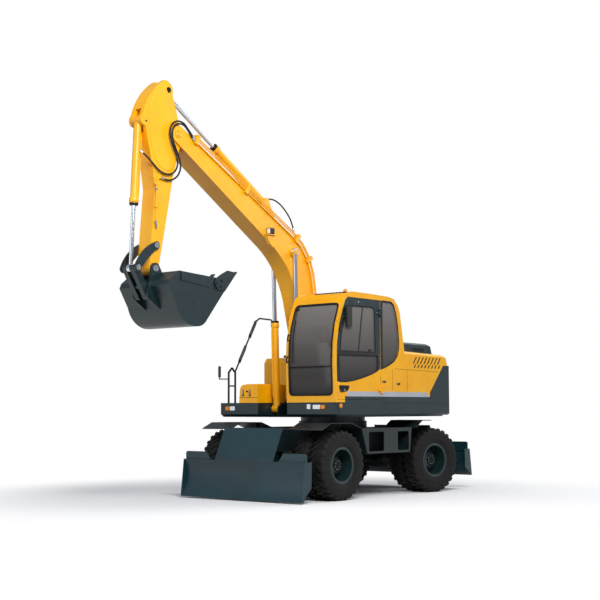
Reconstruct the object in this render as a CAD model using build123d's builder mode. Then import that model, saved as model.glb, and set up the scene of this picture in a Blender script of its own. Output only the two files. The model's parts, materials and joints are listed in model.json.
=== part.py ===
from build123d import *

import math
import os

# Wheeled excavator of the fourteen-tonne class: a chassis on twin tyres with a dozer blade at each
# end, a house that slews on it, and a boom, stick and bucket.
# Millimetres, +Z up, +X towards the digging end, origin on the ground below the middle of the whole.
os.makedirs("parts", exist_ok=True)

# Slewing axis, measured along X from the origin. Every side view below counts x from this axis.
SWING_X = -1118.5
BOOM_Y = -40.0

# Wheels and axles
AXLE_X = 1300.0
TYRE_R = 527.0
TYRE_W = 278.0
TREAD = 18.0
TWIN_PITCH = 320.0
PAIR_Y = 945.0
RIM_R = 254.0
FLANGE_R = 282.0
RIM_W = 190.0
RIM_T = 14.0
HUB_R = 165.0
SPINDLE_R = 62.0
RUN_FIT = 0.05
KINGPIN_Y = 600.0
KINGPIN_R = 26.0
KNUCKLE_R = 70.0
YOKE_H = 85.0
YOKE_T = 26.0
STEER_REST = -9.6
AXLE_TUBE_R = 78.0
DIFF_R = 160.0
SIDES = 26
TREAD_W = TYRE_W - 28.0
LUG_L = 2 * (TYRE_R - TREAD) * math.tan(math.pi / SIDES)
BARREL_IN = RIM_R - RIM_T
BEAD_HALF = (TWIN_PITCH + RIM_W) / 2
BARREL_HALF = BEAD_HALF + RIM_T
SHOULDER_R = FLANGE_R + 95.0

# Chassis
FRAME_HALF = 290.0
FRAME_TOP = 1060.0
FRAME_BOTTOM = 610.0
FRAME_END = 1760.0
PIVOT_X = 1720.0
PIVOT_Z = 500.0
PIVOT_R = 35.0
FENDER_T = 12.0
RING_R = 560.0
RING_BORE = 470.0
RING_TOP = 1180.0
SLIDE = 0.3

# House
HOUSE_LEFT = 1235.0
HOUSE_RIGHT = -1205.0
HOUSE_FRONT = 1450.0
TAIL_R = 2030.0
DECK_BOTTOM = 1250.0
DECK_TOP = 1475.0
WELL_X = 980.0
WELL_LEFT = 253.0
WELL_RIGHT = -356.0
TAIL_X = -1035.0
TAIL_DECK = 420.0
TAIL_STEP = 1640.0
SKIRT_CUT = 45.0

# Cab
CAB_RIGHT = 262.0
CAB_LEFT = 1235.0
CAB_WALL = 42.0
GLASS_T = 6.0
GLASS_IN = 14.0
DOOR_GAP = 5.0
HINGE_X = 345.0
HINGE_Y = CAB_LEFT + 16.0
HINGE_R = 13.0
HINGE_PIN_R = 7.0
HINGE_HALF = 62.0
KNUCKLE_HALF = 32.0
HINGES = (1680.0, 2880.0)
COVER_HINGES = (-500.0, 450.0)

CAB_SIDE = (
    (-315.0, DECK_TOP), (1470.0, DECK_TOP), (1492.0, 2050.0), (1480.0, 2380.0), (1428.0, 2650.0),
    (1335.0, 2910.0), (1262.0, 3070.0), (1180.0, 3145.0), (1060.0, 3165.0), (577.0, 3160.0),
    (119.0, 3146.0), (-45.0, 3116.0), (-150.0, 3020.0), (-198.0, 2917.0), (-315.0, 2296.0),
)
DOOR_SIDE = (
    (345.0, 1520.0), (1425.0, 1520.0), (1445.0, 2050.0), (1433.0, 2375.0), (1383.0, 2635.0),
    (1292.0, 2888.0), (1226.0, 3033.0), (1165.0, 3082.0), (345.0, 3078.0),
)
DOOR_UPPER = (
    (464.0, 2254.0), (1363.0, 2254.0), (1331.0, 2523.0), (1195.0, 2900.0), (1150.0, 2960.0),
    (540.0, 2968.0), (490.0, 2925.0),
)
DOOR_LOWER = (
    (412.0, 1972.0), (600.0, 1908.0), (804.0, 1856.0), (1022.0, 1812.0), (1236.0, 1787.0),
    (1382.0, 1787.0), (1395.0, 2200.0), (412.0, 2208.0),
)
QUARTER = (
    (290.0, 2008.0), (126.0, 2060.0), (-26.0, 2130.0), (-115.0, 2220.0), (-150.0, 2320.0),
    (-162.0, 2430.0), (-135.0, 2677.0), (-90.0, 2883.0), (-30.0, 3030.0), (49.0, 3075.0),
    (290.0, 3078.0),
)
HOOD_TOP = 2305.0
HOOD_FRONT = -320.0
HOOD_REAR = -1565.0
HOOD_SLANT = 128.0
HOOD_WALL = 25.0
HOOD_LIP = 2095.0
HOOD_DROP = 33.0
HOOD_BEND = HOOD_REAR + 155.0
HOOD_SLOPE = HOOD_DROP / (HOOD_FRONT - HOOD_BEND)
TANK_FRONT = 350.0
TANK_LEFT = -290.0
TANK_TOP = 2230.0
BOX_LEFT = -372.0
BOX_RIGHT = -770.0
BOX_TOP = 1765.0
BOX_REAR = 760.0
RAIL_R = 17.0
RAIL_Y = -1120.0
MIRROR_TURN = -45.0
MIRRORS = (
    # x, height, y, width, height, lean along the rail
    (738.6, 2705.0, RAIL_Y, 150.0, 270.0, 30.75),
    (990.3, 2282.0, RAIL_Y, 150.0, 270.0, 30.75),
    (1400.0, 1985.0, -1250.0, 80.0, 180.0, 0.0),
)

# Working gear: pins in the boom's plane, as (x, z)
BOOM_FOOT = (575.0, 1840.0)
BOOM_TIP = (3700.0, 5350.0)
BOOM_CYL_BASE = (1095.0, 1380.0)
BOOM_CYL_ROD = (1180.0, 3858.0)
ARM_CYL_BASE = (1685.0, 4620.0)
ARM_CYL_ROD = (3865.0, 5970.0)
BUCKET_CYL_BASE = (4344.0, 5453.0)
BUCKET_PIN = (4129.0, 3352.0)
ROCKER_PIN = (4115.0, 3681.0)
LINK_PIN = (4455.0, 3340.0)
BUCKET_LINK_PIN = (4222.0, 2966.0)

BOOM_HALF = 160.0
BOOM_BACK = (
    (517.0, 2350.0), (640.0, 3210.0), (697.0, 3540.0), (790.0, 3775.0), (960.0, 3988.0), (1180.0, 4139.0),
    (3400.0, 5331.0),
)
PIPE_R = 11.0
PIPES = (
    # out from the boom's back, y
    (-22.0, 140.0),
    (20.0, 140.0),
    (62.0, 128.0),
)
PIPE_CLAMPS = (
    # x, height, lean
    (3340.0, 5315.0, -28.2),
    (2250.0, 4728.0, -28.2),
    (1060.0, 4090.0, -38.0),
    (775.0, 3780.0, -62.0),
    (585.0, 2880.0, -82.0),
)
TIP_PLATE = 29.0
ARM_HALF = 125.0
SIDE_GAP = 6.0
PIN_R = 34.0
BIG_PIN_R = 42.0
FOOT_R = 130.0
TIP_R = 125.0
BOOM_CYL_Y = 230.0
BARREL_R = 56.0
ROD_R = 33.0
EYE_R = 68.0
EYE_HALF = 30.0
BASE_HALF = 59.0
BOOM_BARREL_L = 1400.0
ARM_BARREL_L = 1330.0
BUCKET_BARREL_L = 1215.0
CHEEK_T = 30.0
EAR_R = 82.0
ROCKER_R = 62.0
BUCKET_HALF = 500.0
BUCKET_T = 20.0

# Dozer blades: outward from the slewing axis, one row for each end
BLADE_W = 2490.0
BLADES = {
    # name: end, foot of the blade, its height, where its cylinder's eye stands
    "front_blade": (1, 25.0, 575.0, (2085.0, 545.0)),
    "rear_blade": (-1, 235.0, 452.0, (2058.0, 640.0)),
}
BLADE_LIP_X = 2280.0
BLADE_TOP_X = 2215.0
BLADE_CURVE_X = 2165.0
BLADE_T = 16.0
BLADE_ARM_Y = 262.0
BLADE_ARM_T = 40.0
BLADE_CYL_BASE = (1800.0, 985.0)
BLADE_BARREL_R = 44.0
BLADE_BARREL_L = 340.0
BLADE_ROD_L = 305.0
BLADE_ROD_R = 27.0
BLADE_PIN_R = 22.0
BLADE_EYE_HALF = 24.0
BLADE_BASE_HALF = 50.0
FLAP_TOP = (1955.0, 1090.0)
FLAP_HALF = 600.0
FLAP_T = 8.0


def side(y=0.0):
    """Plane seen from the right: x ahead of the slewing axis, z up, y to the left of the middle."""
    return Plane(origin=(SWING_X, y, 0), x_dir=(1, 0, 0), z_dir=(0, -1, 0))


def top(z=0.0):
    """Level plane, its centre on the slewing axis."""
    return Plane(origin=(SWING_X, 0, z))


def front(x=0.0):
    """Upright plane across the machine, x ahead of the slewing axis: y to the left, z up."""
    return Plane(origin=(SWING_X + x, 0, 0), x_dir=(0, 1, 0), z_dir=(1, 0, 0))


def end_side(end, y=0.0):
    """Side plane for one end of the chassis: x outward from the slewing axis, z up."""
    return Plane(origin=(SWING_X, y, 0), x_dir=(end, 0, 0), z_dir=(0, -end, 0))


def toward(start, finish, distance):
    """Point at a distance from start on the way to finish, in a side view."""
    length = math.dist(start, finish)
    share = distance / length
    return (start[0] + (finish[0] - start[0]) * share, start[1] + (finish[1] - start[1]) * share)


def spot(point, y):
    """A side view's point as a point of the whole machine."""
    return Vector(SWING_X + point[0], y, point[1])


def barrel_of(base, eye, y, length, radius, rod_r, pin_r, half):
    """Cylinder barrel from its base pin towards its rod's eye, bored for the rod."""
    axis = (spot(eye, y) - spot(base, y)).normalized()
    with BuildPart() as tube:
        with BuildSketch(side(y)):
            with Locations(base):
                Circle(radius + 8)
        extrude(amount=half, both=True)
        with BuildSketch(Plane(origin=spot(base, y), z_dir=axis)):
            Circle(radius)
        extrude(amount=length)
        with BuildSketch(Plane(origin=spot(toward(base, eye, length - 95), y), z_dir=axis)):
            Circle(radius + 9)
        extrude(amount=60)
        with BuildSketch(Plane(origin=spot(toward(base, eye, length), y), z_dir=axis)):
            Circle(rod_r + RUN_FIT)
        extrude(amount=radius + 25 - length, mode=Mode.SUBTRACT)
        with BuildSketch(side(y)):
            with Locations(base):
                Circle(pin_r + RUN_FIT)
        extrude(amount=half, both=True, mode=Mode.SUBTRACT)
    return tube.part


def rod_of(base, eye, y, length, rod_r, eye_r, half):
    """Piston rod with a solid eye at the far pin; its inner end stands inside the barrel."""
    axis = (spot(base, y) - spot(eye, y)).normalized()
    with BuildPart() as stem:
        with BuildSketch(side(y)):
            with Locations(eye):
                Circle(eye_r)
        extrude(amount=half, both=True)
        with BuildSketch(Plane(origin=spot(eye, y), z_dir=axis)):
            Circle(rod_r)
        extrude(amount=length)
    return stem.part


# ---------------------------------------------------------------- chassis
with BuildPart() as chassis_frame:
    with BuildSketch(side()):
        with BuildLine():
            Polyline(
                (-FRAME_END, FRAME_TOP - 130),
                (-FRAME_END + 130, FRAME_TOP),
                (FRAME_END - 130, FRAME_TOP),
                (FRAME_END, FRAME_TOP - 130),
                (FRAME_END, TYRE_R + DIFF_R + 40),
                (AXLE_X - 330, TYRE_R + DIFF_R + 40),
                (AXLE_X - 420, FRAME_BOTTOM),
                (420 - AXLE_X, FRAME_BOTTOM),
                (330 - AXLE_X, TYRE_R + DIFF_R + 40),
                (-FRAME_END, TYRE_R + DIFF_R + 40),
                close=True,
            )
        make_face()
    extrude(amount=FRAME_HALF, both=True)
    with BuildSketch(side()):
        for end in (1, -1):
            with Locations((end * (FRAME_END - 60), 620)):
                Rectangle(120, 2 * (TYRE_R + DIFF_R + 40 - 620))
            with Locations((end * PIVOT_X, PIVOT_Z)):
                Circle(75)
            with Locations((end * (FRAME_END - 60), PIVOT_Z + 60)):
                Rectangle(120, 120)
    extrude(amount=BLADE_ARM_Y - BLADE_ARM_T / 2 - SIDE_GAP, both=True)
    with BuildSketch(side()):
        with Locations((PIVOT_X, PIVOT_Z), (-PIVOT_X, PIVOT_Z)):
            Circle(PIVOT_R)
    extrude(amount=BLADE_ARM_Y + BLADE_ARM_T / 2 + 6, both=True)
    for end in (1, -1):
        base = (end * BLADE_CYL_BASE[0], BLADE_CYL_BASE[1])
        for hand in (1, -1):
            with BuildSketch(side(hand * (BLADE_BASE_HALF + SLIDE))):
                with Locations(base):
                    Circle(42)
                Polygon(
                    (end * (FRAME_END - 110), FRAME_TOP - 10), (base[0], base[1] + 42), base,
                    (base[0], base[1] - 42), (end * (FRAME_END - 10), base[1] - 120), align=None,
                )
            extrude(amount=-hand * 22)
        with BuildSketch(side()):
            with Locations(base):
                Circle(BLADE_PIN_R)
        extrude(amount=BLADE_BASE_HALF + 10, both=True)
chassis_frame.part.label = "chassis_frame"
export_step(chassis_frame.part, "parts/chassis_frame.step")

with BuildPart() as slew_base:
    with BuildSketch(top(FRAME_TOP)):
        Circle(RING_R)
        Circle(RING_BORE, mode=Mode.SUBTRACT)
    extrude(amount=RING_TOP - FRAME_TOP)
slew_base.part.label = "slew_base"
export_step(slew_base.part, "parts/slew_base.step")

def axle_housing(x, half):
    """Axle tube with its differential bulb, lying across the machine at x."""
    with BuildPart() as housing:
        with BuildSketch(Plane(origin=(SWING_X + x, 0, TYRE_R), x_dir=(0, 1, 0), z_dir=(1, 0, 0))):
            with BuildLine():
                Polyline(
                    (-half, 0), (-half, AXLE_TUBE_R), (-300, AXLE_TUBE_R), (-150, DIFF_R),
                    (150, DIFF_R), (300, AXLE_TUBE_R), (half, AXLE_TUBE_R), (half, 0),
                    close=True,
                )
            make_face()
        revolve(axis=Axis((SWING_X + x, 0, TYRE_R), (0, 1, 0)))
        with BuildSketch(top(TYRE_R)):
            with Locations((x, 0)):
                Rectangle(220, 240)
        extrude(amount=DIFF_R + 40)
    return housing.part


with BuildPart() as drive_axle:
    add(axle_housing(AXLE_X, KINGPIN_Y))
    for hand in (1, -1):
        with BuildSketch(Plane(origin=(SWING_X + AXLE_X, hand * KINGPIN_Y, TYRE_R), z_dir=(0, hand, 0))):
            Circle(SPINDLE_R)
        extrude(amount=PAIR_Y + 60 - KINGPIN_Y)
drive_axle.part.label = "drive_axle"
export_step(drive_axle.part, "parts/drive_axle.step")

with BuildPart() as steer_axle:
    add(axle_housing(-AXLE_X, KINGPIN_Y - KNUCKLE_R - 12))
    for level in (1, -1):
        with BuildSketch(Plane.XY.offset(TYRE_R + level * (YOKE_H + YOKE_T / 2))):
            for hand in (1, -1):
                with Locations((SWING_X - AXLE_X, hand * KINGPIN_Y)):
                    Circle(KNUCKLE_R - 8)
                with Locations((SWING_X - AXLE_X, hand * (KINGPIN_Y - 75))):
                    Rectangle(2 * KNUCKLE_R - 16, 150)
        extrude(amount=YOKE_T / 2, both=True)
    with BuildSketch(Plane.XY.offset(TYRE_R)):
        for hand in (1, -1):
            with Locations((SWING_X - AXLE_X, hand * (KINGPIN_Y - KNUCKLE_R - 47))):
                Rectangle(2 * KNUCKLE_R - 16, 70)
            with Locations((SWING_X - AXLE_X, hand * KINGPIN_Y)):
                Circle(KINGPIN_R)
    extrude(amount=YOKE_H + YOKE_T, both=True)
steer_axle.part.label = "steer_axle"
export_step(steer_axle.part, "parts/steer_axle.step")
with BuildPart() as gearbox:
    with BuildSketch(side()):
        with BuildLine():
            Polyline(
                (-190, FRAME_BOTTOM), (250, FRAME_BOTTOM), (270, 500), (180, 440), (-120, 440),
                (-190, 500), close=True,
            )
        make_face()
    extrude(amount=150, both=True)
    for end in (1, -1):
        with BuildSketch(front(end * 190)):
            with Locations((0, TYRE_R)):
                Circle(42)
        extrude(amount=end * (AXLE_X - DIFF_R * 0.9 - 190))
    add([drive_axle.part, steer_axle.part], mode=Mode.SUBTRACT)
gearbox.part.label = "gearbox"
export_step(gearbox.part, "parts/gearbox.step")


def hub_frame(x, hand, steer=0.0):
    """Origin on the kingpin line at axle height, z outward along the axle, x up."""
    turn = math.radians(steer)
    outward = (-hand * math.sin(turn), hand * math.cos(turn), 0)
    return Plane(origin=(SWING_X + x, hand * KINGPIN_Y, TYRE_R), x_dir=(0, 0, 1), z_dir=outward)


def section(hub):
    """Half-section plane of a hub: x outward along the axle, y up from its centre."""
    return Plane(origin=hub.origin, x_dir=hub.z_dir, z_dir=hub.y_dir)


OUT = PAIR_Y - KINGPIN_Y
WHEELS = {
    "front_left": (AXLE_X, 1, 0.0),
    "front_right": (AXLE_X, -1, 0.0),
    "rear_left": (-AXLE_X, 1, STEER_REST),
    "rear_right": (-AXLE_X, -1, STEER_REST),
}

for hand, word in ((1, "left"), (-1, "right")):
    hub = hub_frame(-AXLE_X, hand, STEER_REST)
    with BuildPart() as knuckle:
        with BuildSketch(Plane.XY.offset(TYRE_R)):
            with Locations((SWING_X - AXLE_X, hand * KINGPIN_Y)):
                Circle(KNUCKLE_R)
        extrude(amount=YOKE_H - SLIDE, both=True)
        with BuildSketch(hub):
            Circle(SPINDLE_R)
        extrude(amount=OUT + 60)
        with BuildSketch(hub.offset(70)):
            Circle(AXLE_TUBE_R)
        extrude(amount=25)
        with Locations(Plane(origin=(SWING_X - AXLE_X, hand * KINGPIN_Y, TYRE_R))):
            Hole(KINGPIN_R + RUN_FIT, depth=YOKE_H + YOKE_T)
    knuckle.part.label = f"knuckle_{word}"
    export_step(knuckle.part, f"parts/knuckle_{word}.step")


def carcass(hub, centre):
    """One tyre's many-sided ring: shoulders sloped back to the side walls, beads let in for the rim."""
    with BuildPart() as ring:
        with BuildSketch(hub.offset(centre - TYRE_W / 2)):
            RegularPolygon(TYRE_R - TREAD, SIDES, major_radius=False, rotation=180 / SIDES)
        extrude(amount=TYRE_W)
        for end in (0, -1):
            wall = ring.faces().sort_by(Axis(hub.origin, hub.z_dir))[end]
            chamfer(
                wall.edges(), length=TYRE_R - TREAD - SHOULDER_R, length2=(TYRE_W - TREAD_W) / 2,
                reference=wall
            )
        with BuildSketch(hub.offset(centre - TYRE_W)):
            RegularPolygon(RIM_R, SIDES, major_radius=False, rotation=180 / SIDES)
        extrude(amount=2 * TYRE_W, mode=Mode.SUBTRACT)
        for flank in (1, -1):
            with BuildSketch(hub.offset(centre + flank * RIM_W / 2)):
                RegularPolygon(FLANGE_R + 10, SIDES, major_radius=False, rotation=180 / SIDES)
            extrude(amount=flank * TYRE_W, mode=Mode.SUBTRACT)
    return ring.part


for name, (x, hand, steer) in WHEELS.items():
    hub = hub_frame(x, hand, steer)
    with BuildPart() as rim:
        with BuildSketch(section(hub)):
            with BuildLine():
                Polyline(
                    (OUT - BARREL_HALF, BARREL_IN), (OUT - BARREL_HALF, FLANGE_R),
                    (OUT - BEAD_HALF, FLANGE_R),
                    (OUT - BEAD_HALF, RIM_R), (OUT + BEAD_HALF, RIM_R), (OUT + BEAD_HALF, FLANGE_R),
                    (OUT + BARREL_HALF, FLANGE_R), (OUT + BARREL_HALF, BARREL_IN), (OUT + 22, BARREL_IN),
                    (OUT + 22, HUB_R - 20), (OUT + 140, HUB_R - 30), (OUT + 165, HUB_R - 75),
                    (OUT + 165, 0),
                    (OUT + 62, 0), (OUT + 62, SPINDLE_R + RUN_FIT), (OUT - 200, SPINDLE_R + RUN_FIT),
                    (OUT - 200, HUB_R - 25), (OUT - 22, HUB_R - 25), (OUT - 22, BARREL_IN), close=True,
                )
            make_face()
        revolve(axis=Axis(hub.origin, hub.z_dir))
    rim.part.label = f"rim_{name}"
    export_step(rim.part, f"parts/rim_{name}.step")

    with BuildPart() as tyre:
        for centre in (OUT - TWIN_PITCH / 2, OUT + TWIN_PITCH / 2):
            add(carcass(hub, centre))
            for row in (0, 1):
                with Locations(hub.offset(centre + (row - 0.5) * TREAD_W / 2)):
                    with PolarLocations(TYRE_R - TREAD, SIDES // 2, start_angle=180 + row * 360 / SIDES):
                        Box(2 * TREAD, LUG_L, TREAD_W / 2)
    tyre.part.label = f"tyre_{name}"
    export_step(tyre.part, f"parts/tyre_{name}.step")


# ---------------------------------------------------------------- fenders and side steps
FENDERS = {
    # name: the bent sheet's line, as (x, z)
    "front_fender": ((845.0, 1085.0), (1095.0, 1166.0), (1590.0, 1166.0), (1805.0, 1072.0)),
    "rear_fender": ((-615.0, 1075.0), (-800.0, 1190.0), (-1060.0, 1190.0)),
}
FENDER_IN = 600.0
FENDER_OUT = 1240.0
STEP_IN = 760.0
STEP_OUT = 1235.0
STEP_TOP = 1075.0
STEP_WALL = 16.0

for name, line in FENDERS.items():
    low = [(x, z - FENDER_T) for x, z in reversed(line)]
    post = line[1][0] - 60 if name == "rear_fender" else line[1][0] + 120
    ceiling = line[1][1] - FENDER_T
    with BuildPart() as fender:
        with BuildSketch(side(FENDER_IN)):
            Polygon(*line, *low, align=None)
        extrude(amount=FENDER_IN - FENDER_OUT)
        with BuildSketch(front(post)):
            Polygon(
                (FRAME_HALF - 80, FRAME_TOP), (FENDER_IN + 30, FRAME_TOP), (FENDER_IN + 30, ceiling),
                (FENDER_IN + 18, ceiling), (FENDER_IN + 18, FRAME_TOP + 14),
                (FRAME_HALF - 80, FRAME_TOP + 14), align=None,
            )
        extrude(amount=-90)
        mirror(about=Plane.XZ)
    fender.part.label = name
    export_step(fender.part, f"parts/{name}.step")

for hand, word in ((1, "left"), (-1, "right")):
    with BuildPart() as step:
        with BuildSketch(side(hand * STEP_IN)):
            outline = Polygon(
                (835, STEP_TOP), (-497, STEP_TOP), (-448, 705), (-429, 682), (680, 682), (708, 711),
                align=None,
            )
        extrude(amount=-hand * (STEP_OUT - STEP_IN))
        with BuildSketch(side(hand * (STEP_IN + STEP_WALL))):
            offset(outline, amount=-STEP_WALL)
        extrude(amount=-hand * (STEP_OUT - STEP_IN - 2 * STEP_WALL), mode=Mode.SUBTRACT)
        with BuildSketch(side(hand * STEP_OUT)):
            for centre, width in ((455, 395), (-263, 300)):
                with Locations((centre, 868)):
                    RectangleRounded(width, 300, 25)
        extrude(amount=hand * STEP_WALL, mode=Mode.SUBTRACT)
        with BuildSketch(top(STEP_TOP - 18)):
            with Locations((140, hand * (FRAME_HALF + STEP_IN) / 2)):
                Rectangle(900, STEP_IN - FRAME_HALF)
        extrude(amount=-20)
    step.part.label = f"side_step_{word}"
    export_step(step.part, f"parts/side_step_{word}.step")


# ---------------------------------------------------------------- dozer blades and their cylinders

for name, (end, foot, height, eye) in BLADES.items():
    head = foot + height
    waist = BLADE_CURVE_X - BLADE_T + 4
    arm_in = BLADE_ARM_Y - BLADE_ARM_T / 2
    arm_out = BLADE_ARM_Y + BLADE_ARM_T / 2
    with BuildPart() as blade:
        with BuildSketch(end_side(end)):
            with BuildLine():
                face = ThreePointArc(
                    (BLADE_LIP_X, foot), (BLADE_CURVE_X, foot + height * 0.55), (BLADE_TOP_X, head)
                )
                back = ThreePointArc(
                    (BLADE_TOP_X - BLADE_T - 14, head), (BLADE_CURVE_X - BLADE_T, foot + height * 0.55),
                    (BLADE_LIP_X - 34, foot),
                )
                Line(face @ 1, back @ 0)
                Line(back @ 1, face @ 0)
            make_face()
        extrude(amount=BLADE_W / 2, both=True)
        for hand in (1, -1):
            with BuildSketch(end_side(end, hand * BLADE_W / 2)):
                Polygon(
                    (BLADE_LIP_X - 4, foot + 2), (BLADE_TOP_X, head), (BLADE_CURVE_X - 110, head),
                    (BLADE_CURVE_X - 100, foot + height * 0.35), align=None,
                )
            extrude(amount=hand * end * 14)
            with BuildSketch(end_side(end, hand * arm_in)):
                with Locations((PIVOT_X, PIVOT_Z)):
                    Circle(62)
                Polygon(
                    (PIVOT_X, PIVOT_Z + 62), (PIVOT_X, PIVOT_Z - 62), (waist, foot + height * 0.2),
                    (waist, foot + height * 0.72), align=None,
                )
            extrude(amount=-hand * end * BLADE_ARM_T)
            with BuildSketch(end_side(end, hand * (BLADE_EYE_HALF + SIDE_GAP))):
                with Locations(eye):
                    Circle(36)
                Polygon(
                    (eye[0], eye[1] + 36), (eye[0] - 20, eye[1] - 30), (waist, foot + height * 0.45),
                    (waist + 30, eye[1] + 36), align=None,
                )
            extrude(amount=-hand * end * 20)
            with BuildSketch(front(end * (BLADE_CURVE_X - 14))):
                Polygon(
                    (hand * (BLADE_W / 2 - 10), head - 40), (hand * (BLADE_W / 2 - 10), head + 105),
                    (hand * (BLADE_W / 2 - 40), head + 122), (hand * 790, head + 122),
                    (hand * 700, head), (hand * 700, head - 40), align=None,
                )
            extrude(amount=end * 20)
        with BuildSketch(end_side(end)):
            Polygon(
                FLAP_TOP, (BLADE_CURVE_X, head + 40), (BLADE_TOP_X - BLADE_T - 10, head - 30),
                (BLADE_TOP_X - BLADE_T - 20, head - 30), (BLADE_CURVE_X - FLAP_T, head + 38),
                (FLAP_TOP[0] - FLAP_T, FLAP_TOP[1] - 3), align=None,
            )
        extrude(amount=FLAP_HALF, both=True)
        with BuildSketch(end_side(end)):
            with Locations((PIVOT_X, PIVOT_Z)):
                Circle(PIVOT_R + RUN_FIT)
        extrude(amount=arm_out, both=True, mode=Mode.SUBTRACT)
    blade.part.label = name
    export_step(blade.part, f"parts/{name}.step")

    base = (end * BLADE_CYL_BASE[0], BLADE_CYL_BASE[1])
    far = (end * eye[0], eye[1])
    blade_barrel = barrel_of(
        base, far, 0.0, BLADE_BARREL_L, BLADE_BARREL_R, BLADE_ROD_R, BLADE_PIN_R, BLADE_BASE_HALF
    )
    blade_barrel.label = f"{name}_barrel"
    export_step(blade_barrel, f"parts/{name}_barrel.step")
    blade_rod = rod_of(base, far, 0.0, BLADE_ROD_L, BLADE_ROD_R, 34.0, BLADE_EYE_HALF)
    blade_rod.label = f"{name}_rod"
    export_step(blade_rod, f"parts/{name}_rod.step")


# ---------------------------------------------------------------- house
def plan(front_x, rear_x, left, right, radius=0.0):
    """Plan outline of the house between two cross planes, its tail trimmed to the tail's sweep."""
    with BuildSketch(Plane.XY) as outline:
        with Locations(((front_x + rear_x) / 2, (left + right) / 2)):
            Rectangle(front_x - rear_x, left - right)
        Circle(TAIL_R, mode=Mode.INTERSECT)
        if radius:
            fillet(outline.vertices().group_by(Axis.X)[0], radius)
    return outline.sketch


with BuildPart() as house_frame:
    with BuildSketch(top(DECK_BOTTOM)):
        add(plan(HOUSE_FRONT, TAIL_X - TAIL_DECK, HOUSE_LEFT, HOUSE_RIGHT))
    extrude(amount=DECK_TOP - DECK_BOTTOM)
    fillet(house_frame.edges().filter_by(Axis.Z).group_by(Axis.X)[-1], 60)
    chamfer(house_frame.faces().sort_by(Axis.Z)[0].edges().sort_by(Axis.X)[1:], SKIRT_CUT)
    with BuildSketch(top(DECK_TOP)):
        with Locations(((WELL_X + HOUSE_FRONT) / 2 + 50, (WELL_LEFT + WELL_RIGHT) / 2)):
            Rectangle(HOUSE_FRONT - WELL_X + 100, WELL_LEFT - WELL_RIGHT)
    extrude(amount=DECK_BOTTOM + 35 - DECK_TOP, mode=Mode.SUBTRACT)
    with BuildSketch(top(DECK_BOTTOM)):
        Circle(RING_R - 30)
    extrude(amount=RING_TOP + SLIDE - DECK_BOTTOM)
    with BuildSketch(top(DECK_BOTTOM)):
        Circle(RING_BORE - SLIDE)
    extrude(amount=RING_TOP - 70 - DECK_BOTTOM)
    for hand in (1, -1):
        with BuildSketch(side(BOOM_Y + hand * (BOOM_HALF + SIDE_GAP))):
            with Locations(BOOM_FOOT):
                Circle(FOOT_R - 10)
            Polygon(
                (BOOM_FOOT[0] - 330, DECK_TOP - 5), (WELL_X - 20, DECK_TOP - 5),
                (BOOM_FOOT[0] + 110, BOOM_FOOT[1] - 40), (BOOM_FOOT[0] + 60, BOOM_FOOT[1] + 90),
                (BOOM_FOOT[0] - 90, BOOM_FOOT[1] + 70), align=None,
            )
        extrude(amount=-hand * CHEEK_T)
        for flank in (1, -1):
            inner = BOOM_Y + hand * BOOM_CYL_Y + flank * (BASE_HALF + 3)
            with BuildSketch(side(inner)):
                with Locations(BOOM_CYL_BASE):
                    Circle(62)
                Polygon(
                    (WELL_X - 5, DECK_BOTTOM + 30), (BOOM_CYL_BASE[0] + 62, DECK_BOTTOM + 30),
                    (BOOM_CYL_BASE[0] + 62, BOOM_CYL_BASE[1]), (BOOM_CYL_BASE[0], BOOM_CYL_BASE[1] + 62),
                    (WELL_X - 5, DECK_TOP - 5), align=None,
                )
            extrude(amount=-flank * 20)
        with BuildSketch(side(BOOM_Y + hand * BOOM_CYL_Y)):
            with Locations(BOOM_CYL_BASE):
                Circle(PIN_R)
        extrude(amount=BASE_HALF + 12, both=True)
    with BuildSketch(side(BOOM_Y)):
        with Locations(BOOM_FOOT):
            Circle(BIG_PIN_R)
    extrude(amount=BOOM_HALF + SIDE_GAP + CHEEK_T + 8, both=True)
house_frame.part.label = "house_frame"
export_step(house_frame.part, "parts/house_frame.step")

with BuildPart() as counterweight:
    with BuildSketch(side()):
        Polygon(
            (TAIL_X, DECK_TOP), (TAIL_X, TAIL_STEP), (HOOD_REAR + HOOD_SLANT, HOOD_LIP), (-2300, HOOD_LIP),
            (-2300, DECK_BOTTOM + 20), (TAIL_X - TAIL_DECK, DECK_BOTTOM + 20),
            (TAIL_X - TAIL_DECK, DECK_TOP),
            align=None,
        )
    extrude(amount=1400, both=True)
    with BuildSketch(top(DECK_BOTTOM)):
        add(plan(TAIL_X, -TAIL_R - 20, HOUSE_LEFT, HOUSE_RIGHT, 120))
    extrude(amount=1200, mode=Mode.INTERSECT)
    chamfer(counterweight.faces().sort_by(Axis.Z)[0].edges().sort_by(Axis.X)[:-1], SKIRT_CUT - 20)
counterweight.part.label = "counterweight"
export_step(counterweight.part, "parts/counterweight.step")

HOOD_SIDE = (
    (HOOD_FRONT, DECK_TOP), (TAIL_X, DECK_TOP), (TAIL_X, TAIL_STEP),
    (HOOD_REAR + HOOD_SLANT, HOOD_LIP), (HOOD_REAR, HOOD_LIP), (HOOD_REAR + 45, HOOD_TOP - 85),
    (HOOD_BEND, HOOD_TOP - HOOD_DROP), (HOOD_FRONT, HOOD_TOP),
)
COVER_LEFT = 1040.0
COVER_RIGHT = -1010.0
COVER_FRONT = -420.0
COVER_REAR = -1400.0
COVER_TOP = 2465.0
COVER_PIN = (COVER_REAR - 16, HOOD_TOP - HOOD_DROP + 16)
SLOTS = 8
SLOT_STEP = 100.0
SLOT_ROWS = ((-568.0, 2106.0, 2221.0), (-589.0, 2037.0, 2095.0))

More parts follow.
